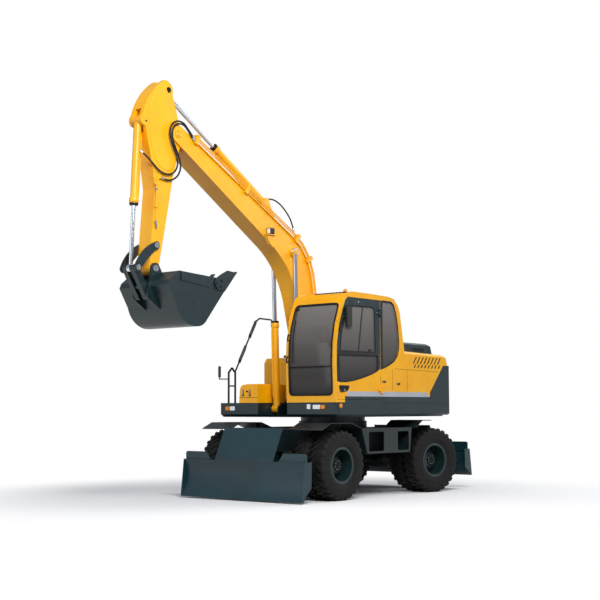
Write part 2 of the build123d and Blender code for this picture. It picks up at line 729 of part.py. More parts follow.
with BuildPart() as hood:
    with BuildSketch(side(HOUSE_LEFT)):
        Polygon(*HOOD_SIDE, align=None)
    extrude(amount=HOUSE_LEFT - HOUSE_RIGHT)
    fillet(hood.faces().sort_by(Axis.Z)[-1].edges().filter_by(Axis.Y, reverse=True), 50)
    with BuildSketch(side(HOUSE_LEFT - HOOD_WALL)):
        offset(Polygon(*HOOD_SIDE, align=None, mode=Mode.PRIVATE), amount=-HOOD_WALL)
        with Locations(((HOOD_FRONT + TAIL_X) / 2, DECK_TOP + 20)):
            Rectangle(HOOD_FRONT - TAIL_X - 2 * HOOD_WALL, 60)
    extrude(amount=HOUSE_LEFT - HOUSE_RIGHT - 2 * HOOD_WALL, mode=Mode.SUBTRACT)
    with BuildSketch(top(HOOD_TOP - 100)):
        with Locations(((COVER_FRONT + COVER_REAR) / 2, (COVER_LEFT + COVER_RIGHT) / 2)):
            Rectangle(COVER_FRONT - COVER_REAR - 120, COVER_LEFT - COVER_RIGHT - 120)
    extrude(amount=140, mode=Mode.SUBTRACT)
    for slot_x, slot_low, slot_high in SLOT_ROWS:
        for slot in range(SLOTS):
            start = slot_x - slot * SLOT_STEP
            lean = 0.75 * (slot_high - slot_low)
            with BuildSketch(side(HOUSE_LEFT)):
                Polygon(
                    (start - 18, slot_low), (start + 18, slot_low), (start + 18 - lean, slot_high),
                    (start - 18 - lean, slot_high), align=None,
                )
            extrude(amount=HOOD_WALL / 2, mode=Mode.SUBTRACT)
    for middle in COVER_HINGES:
        for flank in (1, -1):
            with BuildSketch(side(middle + flank * (KNUCKLE_HALF + 1))):
                with Locations(COVER_PIN):
                    Circle(HINGE_R)
                with Locations((COVER_PIN[0], COVER_PIN[1] - 15)):
                    Rectangle(2 * HINGE_R, 30)
            extrude(amount=-flank * (HINGE_HALF - KNUCKLE_HALF - 1))
        with BuildSketch(side(middle)):
            with Locations(COVER_PIN):
                Circle(HINGE_PIN_R)
        extrude(amount=HINGE_HALF, both=True)
hood.part.label = "engine_hood"
export_step(hood.part, "parts/engine_hood.step")

with BuildPart() as hood_cover:
    with BuildSketch(side(COVER_LEFT)):
        Polygon(
            (COVER_FRONT, HOOD_TOP - 50), (COVER_FRONT - 40, COVER_TOP - 25),
            (COVER_FRONT - 100, COVER_TOP),
            (COVER_REAR + 170, COVER_TOP - 5), (COVER_REAR + 50, COVER_TOP - 50),
            (COVER_REAR, HOOD_TOP - 50),
            align=None,
        )
    extrude(amount=COVER_LEFT - COVER_RIGHT)
    fillet(hood_cover.faces().sort_by(Axis.Z)[-1].edges().filter_by(Axis.Y, reverse=True), 40)
    with BuildSketch(side(COVER_LEFT - HOOD_WALL)):
        Polygon(
            (COVER_FRONT - 35, HOOD_TOP - 60), (COVER_FRONT - 70, COVER_TOP - 50),
            (COVER_REAR + 165, COVER_TOP - 50), (COVER_REAR + 80, COVER_TOP - 75),
            (COVER_REAR + 40, HOOD_TOP - 60), align=None,
        )
    extrude(amount=COVER_LEFT - COVER_RIGHT - 2 * HOOD_WALL, mode=Mode.SUBTRACT)
    split(bisect_by=Plane(origin=spot((HOOD_FRONT, HOOD_TOP + 0.8), 0), z_dir=(-HOOD_SLOPE, 0, 1)))
    for middle in COVER_HINGES:
        with BuildSketch(side(middle)):
            with Locations(COVER_PIN):
                Circle(HINGE_R)
            with Locations((COVER_PIN[0] + 14, COVER_PIN[1] + 3)):
                Rectangle(28, 18)
            with Locations(COVER_PIN):
                Circle(HINGE_PIN_R + RUN_FIT, mode=Mode.SUBTRACT)
        extrude(amount=KNUCKLE_HALF, both=True)
hood_cover.part.label = "hood_cover"
export_step(hood_cover.part, "parts/hood_cover.step")

with BuildPart() as engine_block:
    with BuildSketch(side(0)):
        Polygon(
            (HOOD_FRONT - 140, DECK_TOP), (TAIL_X + 100, DECK_TOP), (TAIL_X + 100, 1900),
            (TAIL_X - 80, 2060), (HOOD_FRONT - 140, 2060), align=None,
        )
    extrude(amount=600, both=True)
engine_block.part.label = "engine_block"
export_step(engine_block.part, "parts/engine_block.step")

with BuildPart() as tank:
    with BuildSketch(side(HOUSE_RIGHT)):
        Polygon(
            (HOOD_FRONT, DECK_TOP), (TANK_FRONT, DECK_TOP), (TANK_FRONT, TANK_TOP - 80),
            (TANK_FRONT - 60, TANK_TOP), (HOOD_FRONT, TANK_TOP + 20), align=None,
        )
    extrude(amount=HOUSE_RIGHT - TANK_LEFT)
    chamfer(tank.edges().filter_by(Axis.X).group_by(Axis.Z)[-1].sort_by(Axis.Y)[0], 90)
tank.part.label = "fuel_tank"
export_step(tank.part, "parts/fuel_tank.step")

with BuildPart() as tool_box:
    with BuildSketch(front(HOUSE_FRONT - 5)):
        with BuildLine():
            Polyline(
                (BOX_LEFT, DECK_TOP), (BOX_LEFT, BOX_TOP), (BOX_RIGHT + 110, BOX_TOP)
            )
            TangentArc((BOX_RIGHT + 110, BOX_TOP), (BOX_RIGHT + 15, BOX_TOP - 95), tangent=(-1, 0))
            Polyline((BOX_RIGHT + 15, BOX_TOP - 95), (BOX_RIGHT, DECK_TOP), (BOX_LEFT, DECK_TOP))
        make_face()
    extrude(amount=BOX_REAR - HOUSE_FRONT + 5)
    for latch in (0.25, 0.62):
        with BuildSketch(front(HOUSE_FRONT - 5)):
            with Locations((BOX_RIGHT + latch * (BOX_LEFT - BOX_RIGHT), 1640)):
                RectangleRounded(36, 90, 12)
        extrude(amount=14)
    with BuildSketch(top(BOX_TOP)):
        with Locations(((BOX_REAR + HOUSE_FRONT) / 2, (BOX_LEFT + BOX_RIGHT + 110) / 2)):
            Rectangle(HOUSE_FRONT - BOX_REAR - 60, BOX_LEFT - BOX_RIGHT - 150)
    extrude(amount=10)
tool_box.part.label = "tool_box"
export_step(tool_box.part, "parts/tool_box.step")


def bent(points, cut):
    """Run of points with each corner taken off a cut length before and after it."""
    run = [Vector(point) for point in points]
    turned = [run[0]]
    for before, corner, after in zip(run, run[1:], run[2:]):
        turned.append(corner + (before - corner).normalized() * cut)
        turned.append(corner + (after - corner).normalized() * cut)
    return [*turned, run[-1]]


def tube(points, cut, radius):
    """Round bar along straight runs: each corner mitred twice, or once where nothing is cut off it."""
    with BuildPart() as bar:
        with BuildLine() as run:
            Polyline(*(bent(points, cut) if cut else points))
        with BuildSketch(Plane(origin=run.line @ 0, z_dir=run.line % 0)):
            Circle(radius)
        sweep(transition=Transition.RIGHT)
    return bar.part


POST_FRONT = 1319.0
POST_REAR = 1164.0
POST_TOP = 2041.0
RAIL_PEAK = 2901.0
RUNG_Z = 1753.0
MIRROR_T = 44.0
ARM_Z = 1866.0
ARM_R = 9.0

with BuildPart() as hand_rail:
    hoop = [(POST_FRONT, DECK_TOP), (POST_FRONT, POST_TOP), (POST_REAR, POST_TOP), (POST_REAR, DECK_TOP)]
    add(tube([spot(corner, RAIL_Y) for corner in hoop], 4 * RAIL_R, RAIL_R))
    high = [
        spot((POST_REAR, 1990), RAIL_Y),
        spot((622, RAIL_PEAK), RAIL_Y),
        spot((215, RAIL_PEAK - 12), RAIL_Y),
        spot((218, TANK_TOP + 5), RAIL_Y + 35),
    ]
    add(tube(high, 60, RAIL_R - 3))
    with BuildSketch(front(POST_REAR)):
        with Locations((RAIL_Y, RUNG_Z)):
            Circle(RAIL_R - 5)
    extrude(amount=POST_FRONT - POST_REAR)
    for reach, height, across, wide, tall, lean in MIRRORS:
        stand = Location(spot((reach, height), across)) * Rotation(0, -lean, 0)
        stand = stand * Rotation(0, 0, MIRROR_TURN)
        with Locations(stand):
            Box(MIRROR_T, wide, tall)
    reach, height, across, wide, tall, lean = MIRRORS[-1]
    arm = [
        spot((POST_FRONT, ARM_Z), RAIL_Y),
        spot((reach, ARM_Z), across),
        spot((reach, height - 20), across),
    ]
    add(tube(arm, 0, ARM_R))
hand_rail.part.label = "hand_rail"
export_step(hand_rail.part, "parts/hand_rail.step")


# ---------------------------------------------------------------- cab
CAB_MID = (CAB_LEFT + CAB_RIGHT) / 2
CAB_WIDE = CAB_LEFT - CAB_RIGHT


def pane_outline(middle, width, height, corner):
    """Rounded window outline in its own plane."""
    with BuildSketch(Plane.XY) as outline:
        with Locations(middle):
            RectangleRounded(width, height, corner)
    return outline.sketch


FRONT_PANE = pane_outline((CAB_MID, 2285), CAB_WIDE - 130, 1390, 60)
REAR_PANE = pane_outline((CAB_MID, 2690), CAB_WIDE - 220, 400, 60)
RIGHT_PANE = pane_outline((480, 2480), 1080, 900, 60)

with BuildPart() as cab_shell:
    with BuildSketch(side(CAB_LEFT)):
        Polygon(*CAB_SIDE, align=None)
    extrude(amount=CAB_WIDE)
    with BuildSketch(side(CAB_LEFT - CAB_WALL)):
        offset(Polygon(*CAB_SIDE, align=None, mode=Mode.PRIVATE), amount=-CAB_WALL)
    extrude(amount=CAB_WIDE - 2 * CAB_WALL, mode=Mode.SUBTRACT)
    with BuildSketch(side(CAB_LEFT)):
        offset(Polygon(*DOOR_SIDE, align=None, mode=Mode.PRIVATE), amount=DOOR_GAP, kind=Kind.INTERSECTION)
        Polygon(*QUARTER, align=None)
    extrude(amount=CAB_WALL + 1, mode=Mode.SUBTRACT)
    with BuildSketch(front(1100)):
        add(FRONT_PANE)
    extrude(amount=400, mode=Mode.SUBTRACT)
    with BuildSketch(front(-400)):
        add(REAR_PANE)
    extrude(amount=400, mode=Mode.SUBTRACT)
    with BuildSketch(side(CAB_RIGHT)):
        add(RIGHT_PANE)
    extrude(amount=-CAB_WALL - 1, mode=Mode.SUBTRACT)
    for height in HINGES:
        for foot in (-HINGE_HALF, KNUCKLE_HALF + 1):
            with BuildSketch(top(height + foot)):
                with Locations((HINGE_X, HINGE_Y)):
                    Circle(HINGE_R)
                with Locations((HINGE_X - 25, CAB_LEFT + 10)):
                    Rectangle(50, 20)
            extrude(amount=HINGE_HALF - KNUCKLE_HALF - 1)
        with BuildSketch(top(height - HINGE_HALF)):
            with Locations((HINGE_X, HINGE_Y)):
                Circle(HINGE_PIN_R)
        extrude(amount=2 * HINGE_HALF)
cab_shell.part.label = "cab_shell"
export_step(cab_shell.part, "parts/cab_shell.step")

with BuildPart() as cab_door:
    with BuildSketch(side(CAB_LEFT)):
        Polygon(*DOOR_SIDE, align=None)
        Polygon(*DOOR_UPPER, align=None, mode=Mode.SUBTRACT)
        Polygon(*DOOR_LOWER, align=None, mode=Mode.SUBTRACT)
    extrude(amount=CAB_WALL - 4)
    for height in HINGES:
        with BuildSketch(top(height - KNUCKLE_HALF)):
            with Locations((HINGE_X, HINGE_Y)):
                Circle(HINGE_R)
            with Locations((HINGE_X + 30, CAB_LEFT + 10)):
                Rectangle(60, 20)
            with Locations((HINGE_X, HINGE_Y)):
                Circle(HINGE_PIN_R + RUN_FIT, mode=Mode.SUBTRACT)
        extrude(amount=2 * KNUCKLE_HALF)
cab_door.part.label = "cab_door"
export_step(cab_door.part, "parts/cab_door.step")

with BuildPart() as door_glass:
    with BuildSketch(side(CAB_LEFT - GLASS_IN)):
        Polygon(*DOOR_UPPER, align=None)
        Polygon(*DOOR_LOWER, align=None)
    extrude(amount=GLASS_T)
door_glass.part.label = "door_glass"
export_step(door_glass.part, "parts/door_glass.step")

with BuildPart() as end_panes:
    with BuildSketch(side(CAB_LEFT - 65)):
        offset(Polygon(*CAB_SIDE, align=None, mode=Mode.PRIVATE), amount=-GLASS_IN)
        offset(
            Polygon(*CAB_SIDE, align=None, mode=Mode.PRIVATE), amount=-GLASS_IN - GLASS_T,
            mode=Mode.SUBTRACT,
        )
    extrude(amount=CAB_WIDE - 130)
with BuildPart() as end_windows:
    with BuildSketch(front(1100)):
        add(FRONT_PANE)
    extrude(amount=400)
    with BuildSketch(front(-400)):
        add(REAR_PANE)
    extrude(amount=400)
with BuildPart() as cab_glass:
    add(end_panes.part)
    add(end_windows.part, mode=Mode.INTERSECT)
    with BuildSketch(side(CAB_LEFT - GLASS_IN)):
        Polygon(*QUARTER, align=None)
    extrude(amount=GLASS_T)
    with BuildSketch(side(CAB_RIGHT + GLASS_IN)):
        add(RIGHT_PANE)
    extrude(amount=-GLASS_T)
cab_glass.part.label = "cab_glass"
export_step(cab_glass.part, "parts/cab_glass.step")

SEAT_X = 430.0
SEAT_W = 470.0
FLOOR_TOP = DECK_TOP + CAB_WALL

with BuildPart() as seat:
    with BuildSketch(side(CAB_MID)):
        Polygon(
            (SEAT_X - 190, 1960), (SEAT_X + 260, 1990), (SEAT_X + 280, 2060), (SEAT_X + 240, 2090),
            (SEAT_X - 120, 2060), (SEAT_X - 235, 2700), (SEAT_X - 330, 2690), align=None,
        )
    extrude(amount=SEAT_W / 2, both=True)
    with BuildSketch(top(FLOOR_TOP)):
        with Locations((SEAT_X + 30, CAB_MID)):
            Rectangle(360, 340)
    extrude(amount=1965 - FLOOR_TOP)
seat.part.label = "seat"
export_step(seat.part, "parts/seat.step")

with BuildPart() as console:
    for flank in (1, -1):
        with BuildSketch(side(CAB_MID + flank * (SEAT_W / 2 + 12))):
            Polygon(
                (SEAT_X - 150, FLOOR_TOP), (SEAT_X + 230, FLOOR_TOP), (SEAT_X + 330, 2150),
                (SEAT_X + 300, 2210), (SEAT_X - 150, 2180), align=None,
            )
        extrude(amount=-flank * 100)
        with BuildSketch(Plane(origin=spot((SEAT_X + 265, 2190), CAB_MID + flank * (SEAT_W / 2 + 62)))):
            Circle(16)
        extrude(amount=170)
    with BuildSketch(side(CAB_MID)):
        Polygon((1180, FLOOR_TOP), (1260, FLOOR_TOP), (1125, 2275), (1070, 2250), align=None)
    extrude(amount=45, both=True)
    with BuildSketch(Plane(origin=spot((1095, 2260), CAB_MID), z_dir=(-0.45, 0, 0.89))):
        Circle(190)
        Circle(165, mode=Mode.SUBTRACT)
        Rectangle(40, 340)
    extrude(amount=24)
console.part.label = "console"
export_step(console.part, "parts/console.step")

with BuildPart() as mirror_left:
    with BuildSketch(side(CAB_LEFT)):
        with Locations((1362, 2575)):
            Rectangle(46, 56)
    extrude(amount=-30)
    add(tube([spot((1362, 2595), 1252), spot((1362, 2755), 1262), spot((1230, 2790), 1266)], 30, 9))
    with Locations(Location(spot((1185, 2790), 1270)) * Rotation(0, 0, 8)):
        Box(150, 30, 300)
mirror_left.part.label = "mirror_left"
export_step(mirror_left.part, "parts/mirror_left.step")


# ---------------------------------------------------------------- boom, stick and bucket
TIP_END = 265.0

with BuildPart() as boom:
    with BuildSketch(side(BOOM_Y)) as boom_shape:
        with BuildLine():
            back = Line((BOOM_FOOT[0] - 128, BOOM_FOOT[1] + 25), (640, 3210))
            bend = ThreePointArc(back @ 1, (790, 3775), (1180, 4139))
            ridge = Line(bend @ 1, (BOOM_TIP[0] - 60, BOOM_TIP[1] + 110))
            nose = ThreePointArc(
                ridge @ 1, (BOOM_TIP[0] + TIP_R, BOOM_TIP[1]), (BOOM_TIP[0] + 60, BOOM_TIP[1] - 110),
            )
            belly = Line(nose @ 1, (1640, 3920))
            inner = ThreePointArc(belly @ 1, (1235, 3530), (1000, 3000))
            shin = Line(inner @ 1, (BOOM_FOOT[0] + 130, BOOM_FOOT[1] + 20))
            ThreePointArc(shin @ 1, (BOOM_FOOT[0], BOOM_FOOT[1] - FOOT_R), back @ 0)
        make_face()
    extrude(amount=BOOM_HALF, both=True)
    with BuildSketch(side(BOOM_Y)):
        with Locations(BOOM_TIP):
            Circle(TIP_END)
    extrude(amount=BOOM_HALF - TIP_PLATE, both=True, mode=Mode.SUBTRACT)
    with BuildSketch(side(BOOM_Y)):
        with Locations(BOOM_FOOT):
            Circle(BIG_PIN_R + RUN_FIT)
    extrude(amount=BOOM_HALF, both=True, mode=Mode.SUBTRACT)
    with BuildSketch(side(BOOM_Y)):
        with Locations(BOOM_TIP):
            Circle(BIG_PIN_R)
    extrude(amount=BOOM_HALF + 14, both=True)
    with BuildSketch(side(BOOM_Y)):
        with Locations(BOOM_CYL_ROD):
            Circle(PIN_R + 26)
    extrude(amount=BOOM_CYL_Y - EYE_HALF - SIDE_GAP, both=True)
    for flank in (1, -1):
        with BuildSketch(side(BOOM_Y + flank * (BASE_HALF + 3))):
            with Locations(ARM_CYL_BASE):
                Circle(62)
            Polygon(
                (ARM_CYL_BASE[0] - 62, ARM_CYL_BASE[1]), (ARM_CYL_BASE[0] + 60, ARM_CYL_BASE[1] + 20),
                (ARM_CYL_BASE[0] + 200, ARM_CYL_BASE[1] - 160),
                (ARM_CYL_BASE[0] - 230, ARM_CYL_BASE[1] - 330),
                align=None,
            )
        extrude(amount=-flank * 22)
    with BuildSketch(side(BOOM_Y)):
        with Locations(ARM_CYL_BASE):
            Circle(PIN_R)
    extrude(amount=BASE_HALF + 22, both=True)
    with BuildSketch(side(BOOM_Y + BOOM_HALF)):
        Polygon((1846, 4080), (1650, 4066), (1640, 3905), (1700, 3890), (1760, 3935), align=None)
    extrude(amount=-60)
    with BuildSketch(top(4072)):
        with Locations((1745, BOOM_Y + BOOM_HALF + 45)):
            Rectangle(205, 90)
    extrude(amount=12)
boom.part.label = "boom"
export_step(boom.part, "parts/boom.step")

with BuildPart() as work_lamp:
    with BuildSketch(front(1695)):
        with Locations((BOOM_Y + BOOM_HALF + 48, 4138)):
            RectangleRounded(86, 92, 14)
    extrude(amount=95)
    with BuildSketch(front(1790)):
        with Locations((BOOM_Y + BOOM_HALF + 48, 4138)):
            RectangleRounded(74, 80, 10)
    extrude(amount=-12, mode=Mode.SUBTRACT)
    with BuildSketch(top(4084)):
        with Locations((1745, BOOM_Y + BOOM_HALF + 48)):
            Rectangle(40, 30)
    extrude(amount=14)
work_lamp.part.label = "work_lamp"
export_step(work_lamp.part, "parts/work_lamp.step")


def along_boom(out):
    """The boom's back from its foot to its tip, moved outward from the boom by a distance."""
    line = [Vector(x, z) for x, z in BOOM_BACK]
    moved = []
    for before, point, after in zip([line[0], *line], line, [*line[1:], line[-1]]):
        way = (after - before).normalized()
        moved.append((point.X - way.Y * out, point.Y + way.X * out))
    return moved


with BuildPart() as boom_pipes:
    for out, across in PIPES:
        add(tube([spot(point, across) for point in along_boom(out)], 0, PIPE_R))
    for clamp_x, clamp_z, lean in PIPE_CLAMPS:
        with Locations(Location(spot((clamp_x, clamp_z), 118)) * Rotation(0, lean, 0)):
            Box(60, 92, 150)
    add(boom.part, mode=Mode.SUBTRACT)
boom_pipes.part.label = "boom_pipes"
export_step(boom_pipes.part, "parts/boom_pipes.step")

BOOM_ROD_L = 1360.0
ARM_ROD_L = 1500.0
BUCKET_ROD_L = 1170.0
BUCKET_ROD_R = 30.0

with BuildPart() as boom_barrels:
    for hand in (1, -1):
        add(barrel_of(
            BOOM_CYL_BASE, BOOM_CYL_ROD, BOOM_Y + hand * BOOM_CYL_Y, BOOM_BARREL_L, BARREL_R, ROD_R,
            PIN_R, BASE_HALF,
        ))
boom_barrels.part.label = "boom_barrels"
export_step(boom_barrels.part, "parts/boom_barrels.step")

with BuildPart() as boom_rods:
    for hand in (1, -1):
        add(rod_of(
            BOOM_CYL_BASE, BOOM_CYL_ROD, BOOM_Y + hand * BOOM_CYL_Y, BOOM_ROD_L, ROD_R, EYE_R, EYE_HALF,
        ))
boom_rods.part.label = "boom_rods"
export_step(boom_rods.part, "parts/boom_rods.step")

arm_barrel = barrel_of(
    ARM_CYL_BASE, ARM_CYL_ROD, BOOM_Y, ARM_BARREL_L, BARREL_R, ROD_R, PIN_R, BASE_HALF
)
arm_barrel.label = "arm_barrel"
export_step(arm_barrel, "parts/arm_barrel.step")

arm_rod = rod_of(ARM_CYL_BASE, ARM_CYL_ROD, BOOM_Y, ARM_ROD_L, ROD_R, EYE_R - 8, EYE_HALF)
arm_rod.label = "arm_rod"
export_step(arm_rod, "parts/arm_rod.step")

with BuildPart() as arm:
    with BuildSketch(side(BOOM_Y)):
        with BuildLine():
            heel = Line((4060, 3290), (3920, 3956))
            rear = Line(heel @ 1, (3778, 4683))
            rise = Line(rear @ 1, (BOOM_TIP[0] - 92, BOOM_TIP[1] - 90))
            knob = ThreePointArc(
                rise @ 1, (BOOM_TIP[0] - 130, BOOM_TIP[1]), (BOOM_TIP[0] - 60, BOOM_TIP[1] + 115),
            )
            neck = Line(knob @ 1, (ARM_CYL_ROD[0] - 78, ARM_CYL_ROD[1] - 60))
            head_arc = ThreePointArc(
                neck @ 1, (ARM_CYL_ROD[0] - 30, ARM_CYL_ROD[1] + 100),
                (ARM_CYL_ROD[0] + 90, ARM_CYL_ROD[1] + 130)
            )
            crown = ThreePointArc(head_arc @ 1, (4215, 5850), (4369, 5530))
            lug = ThreePointArc(crown @ 1, (4395, 5420), (4310, 5370))
            brow = Line(lug @ 1, (4175, 4820))
            brisket = Line(brow @ 1, (4120, 4500))
            fore = Line(brisket @ 1, (4190, 3680))
            toe = Line(fore @ 1, (4215, 3380))
            ThreePointArc(toe @ 1, (BUCKET_PIN[0] + 20, BUCKET_PIN[1] - 84), heel @ 0)
        make_face()
    extrude(amount=ARM_HALF, both=True)
    with BuildSketch(side(BOOM_Y)):
        with Locations(ARM_CYL_ROD):
            Circle(172)
        Polygon(
            ARM_CYL_ROD, (ARM_CYL_ROD[0] - 265, ARM_CYL_ROD[1] - 141),
            (ARM_CYL_ROD[0] - 136, ARM_CYL_ROD[1] - 267),
            align=None,
        )
        with Locations(BUCKET_CYL_BASE):
            Circle(170)
    extrude(amount=BASE_HALF + 3, both=True, mode=Mode.SUBTRACT)
    with BuildSketch(side(BOOM_Y)):
        with Locations(BOOM_TIP):
            Circle(BIG_PIN_R + RUN_FIT)
    extrude(amount=ARM_HALF, both=True, mode=Mode.SUBTRACT)
    with BuildSketch(side(BOOM_Y)):
        with Locations(BUCKET_CYL_BASE):
            Circle(PIN_R)
    extrude(amount=ARM_HALF, both=True)
    with BuildSketch(side(BOOM_Y)):
        with Locations(ROCKER_PIN, BUCKET_PIN):
            Circle(PIN_R)
    extrude(amount=ARM_HALF + SIDE_GAP + CHEEK_T + 4, both=True)
arm.part.label = "arm"
export_step(arm.part, "parts/arm.step")

bucket_barrel = barrel_of(
    BUCKET_CYL_BASE, LINK_PIN, BOOM_Y, BUCKET_BARREL_L, BARREL_R, BUCKET_ROD_R, PIN_R, BASE_HALF
)
bucket_barrel.label = "bucket_barrel"
export_step(bucket_barrel, "parts/bucket_barrel.step")

bucket_rod = rod_of(BUCKET_CYL_BASE, LINK_PIN, BOOM_Y, BUCKET_ROD_L, BUCKET_ROD_R, 56.0, EYE_HALF)
bucket_rod.label = "bucket_rod"
export_step(bucket_rod, "parts/bucket_rod.step")

SWAY = 34.0
LINK_IN = EYE_HALF + 10.0
LINK_OUT = 118.0

with BuildPart() as rocker:
    for flank in (1, -1):
        with BuildSketch(side(BOOM_Y + flank * (ARM_HALF + SIDE_GAP))):
            with BuildLine():
                outer = ThreePointArc(
                    (ROCKER_PIN[0] - 20, ROCKER_PIN[1] + ROCKER_R),
                    ((ROCKER_PIN[0] + LINK_PIN[0]) / 2 + SWAY + 34,
                    (ROCKER_PIN[1] + LINK_PIN[1]) / 2 + SWAY + 44),
                    (LINK_PIN[0] + ROCKER_R, LINK_PIN[1]),
                )
                ThreePointArc(
                    outer @ 1, (LINK_PIN[0], LINK_PIN[1] - ROCKER_R), (LINK_PIN[0] - ROCKER_R, LINK_PIN[1]),
                )
                inner = ThreePointArc(
                    (LINK_PIN[0] - ROCKER_R, LINK_PIN[1]),
                    ((ROCKER_PIN[0] + LINK_PIN[0]) / 2 + SWAY - 60,
                    (ROCKER_PIN[1] + LINK_PIN[1]) / 2 + SWAY - 50),
                    (ROCKER_PIN[0] + 10, ROCKER_PIN[1] - ROCKER_R),
                )
                ThreePointArc(inner @ 1, (ROCKER_PIN[0] - ROCKER_R, ROCKER_PIN[1]), outer @ 0)
            make_face()
            with Locations(ROCKER_PIN):
                Circle(PIN_R + RUN_FIT, mode=Mode.SUBTRACT)
        extrude(amount=-flank * CHEEK_T)
        with BuildSketch(side(BOOM_Y + flank * LINK_IN)):
            with Locations(LINK_PIN):
                Circle(PIN_R)
        extrude(amount=-flank * (ARM_HALF + SIDE_GAP + CHEEK_T + 5 - LINK_IN))
rocker.part.label = "rocker"
export_step(rocker.part, "parts/rocker.step")

with BuildPart() as bucket_link:
    for flank in (1, -1):
        with BuildSketch(side(BOOM_Y + flank * LINK_IN)):
            with Locations(LINK_PIN, BUCKET_LINK_PIN):
                Circle(54)
            Polygon(
                (LINK_PIN[0] - 48, LINK_PIN[1] + 20), (LINK_PIN[0] + 48, LINK_PIN[1] - 22),
                (BUCKET_LINK_PIN[0] + 48, BUCKET_LINK_PIN[1] - 20),
                (BUCKET_LINK_PIN[0] - 48, BUCKET_LINK_PIN[1] + 22),
                align=None,
            )
            with Locations(LINK_PIN):
                Circle(PIN_R + RUN_FIT, mode=Mode.SUBTRACT)
        extrude(amount=-flank * (LINK_OUT - LINK_IN))
    with BuildSketch(side(BOOM_Y)):
        with Locations(
            ((LINK_PIN[0] + 2 * BUCKET_LINK_PIN[0]) / 3, (LINK_PIN[1] + 2 * BUCKET_LINK_PIN[1]) / 3),
        ):
            Circle(36)
    extrude(amount=LINK_IN + 5, both=True)
bucket_link.part.label = "bucket_link"
export_step(bucket_link.part, "parts/bucket_link.step")

BUCKET_LIP = (3010.0, 3170.0)
BUCKET_MOUTH = (3264.0, 3267.0)
BUCKET_APEX = (4005.0, 3310.0)
TOOTH_TIP = (2795.0, 3385.0)
EAR_IN = ARM_HALF + SIDE_GAP + 1.0
STRIP_T = 12.0
CUTTER_T = 22.0
SIDE_CUTTER = (
    (3310.0, 3205.0), (3262.0, 3262.0), (3170.0, 3318.0), (3035.0, 3386.0), (2905.0, 3374.0),
    (2880.0, 3352.0),
    (3000.0, 3215.0), (3062.0, 3128.0), (3130.0, 3082.0), (3255.0, 3100.0),
)
CUTTER_BOLTS = ((3245.0, 3195.0), (3150.0, 3235.0), (3170.0, 3145.0))

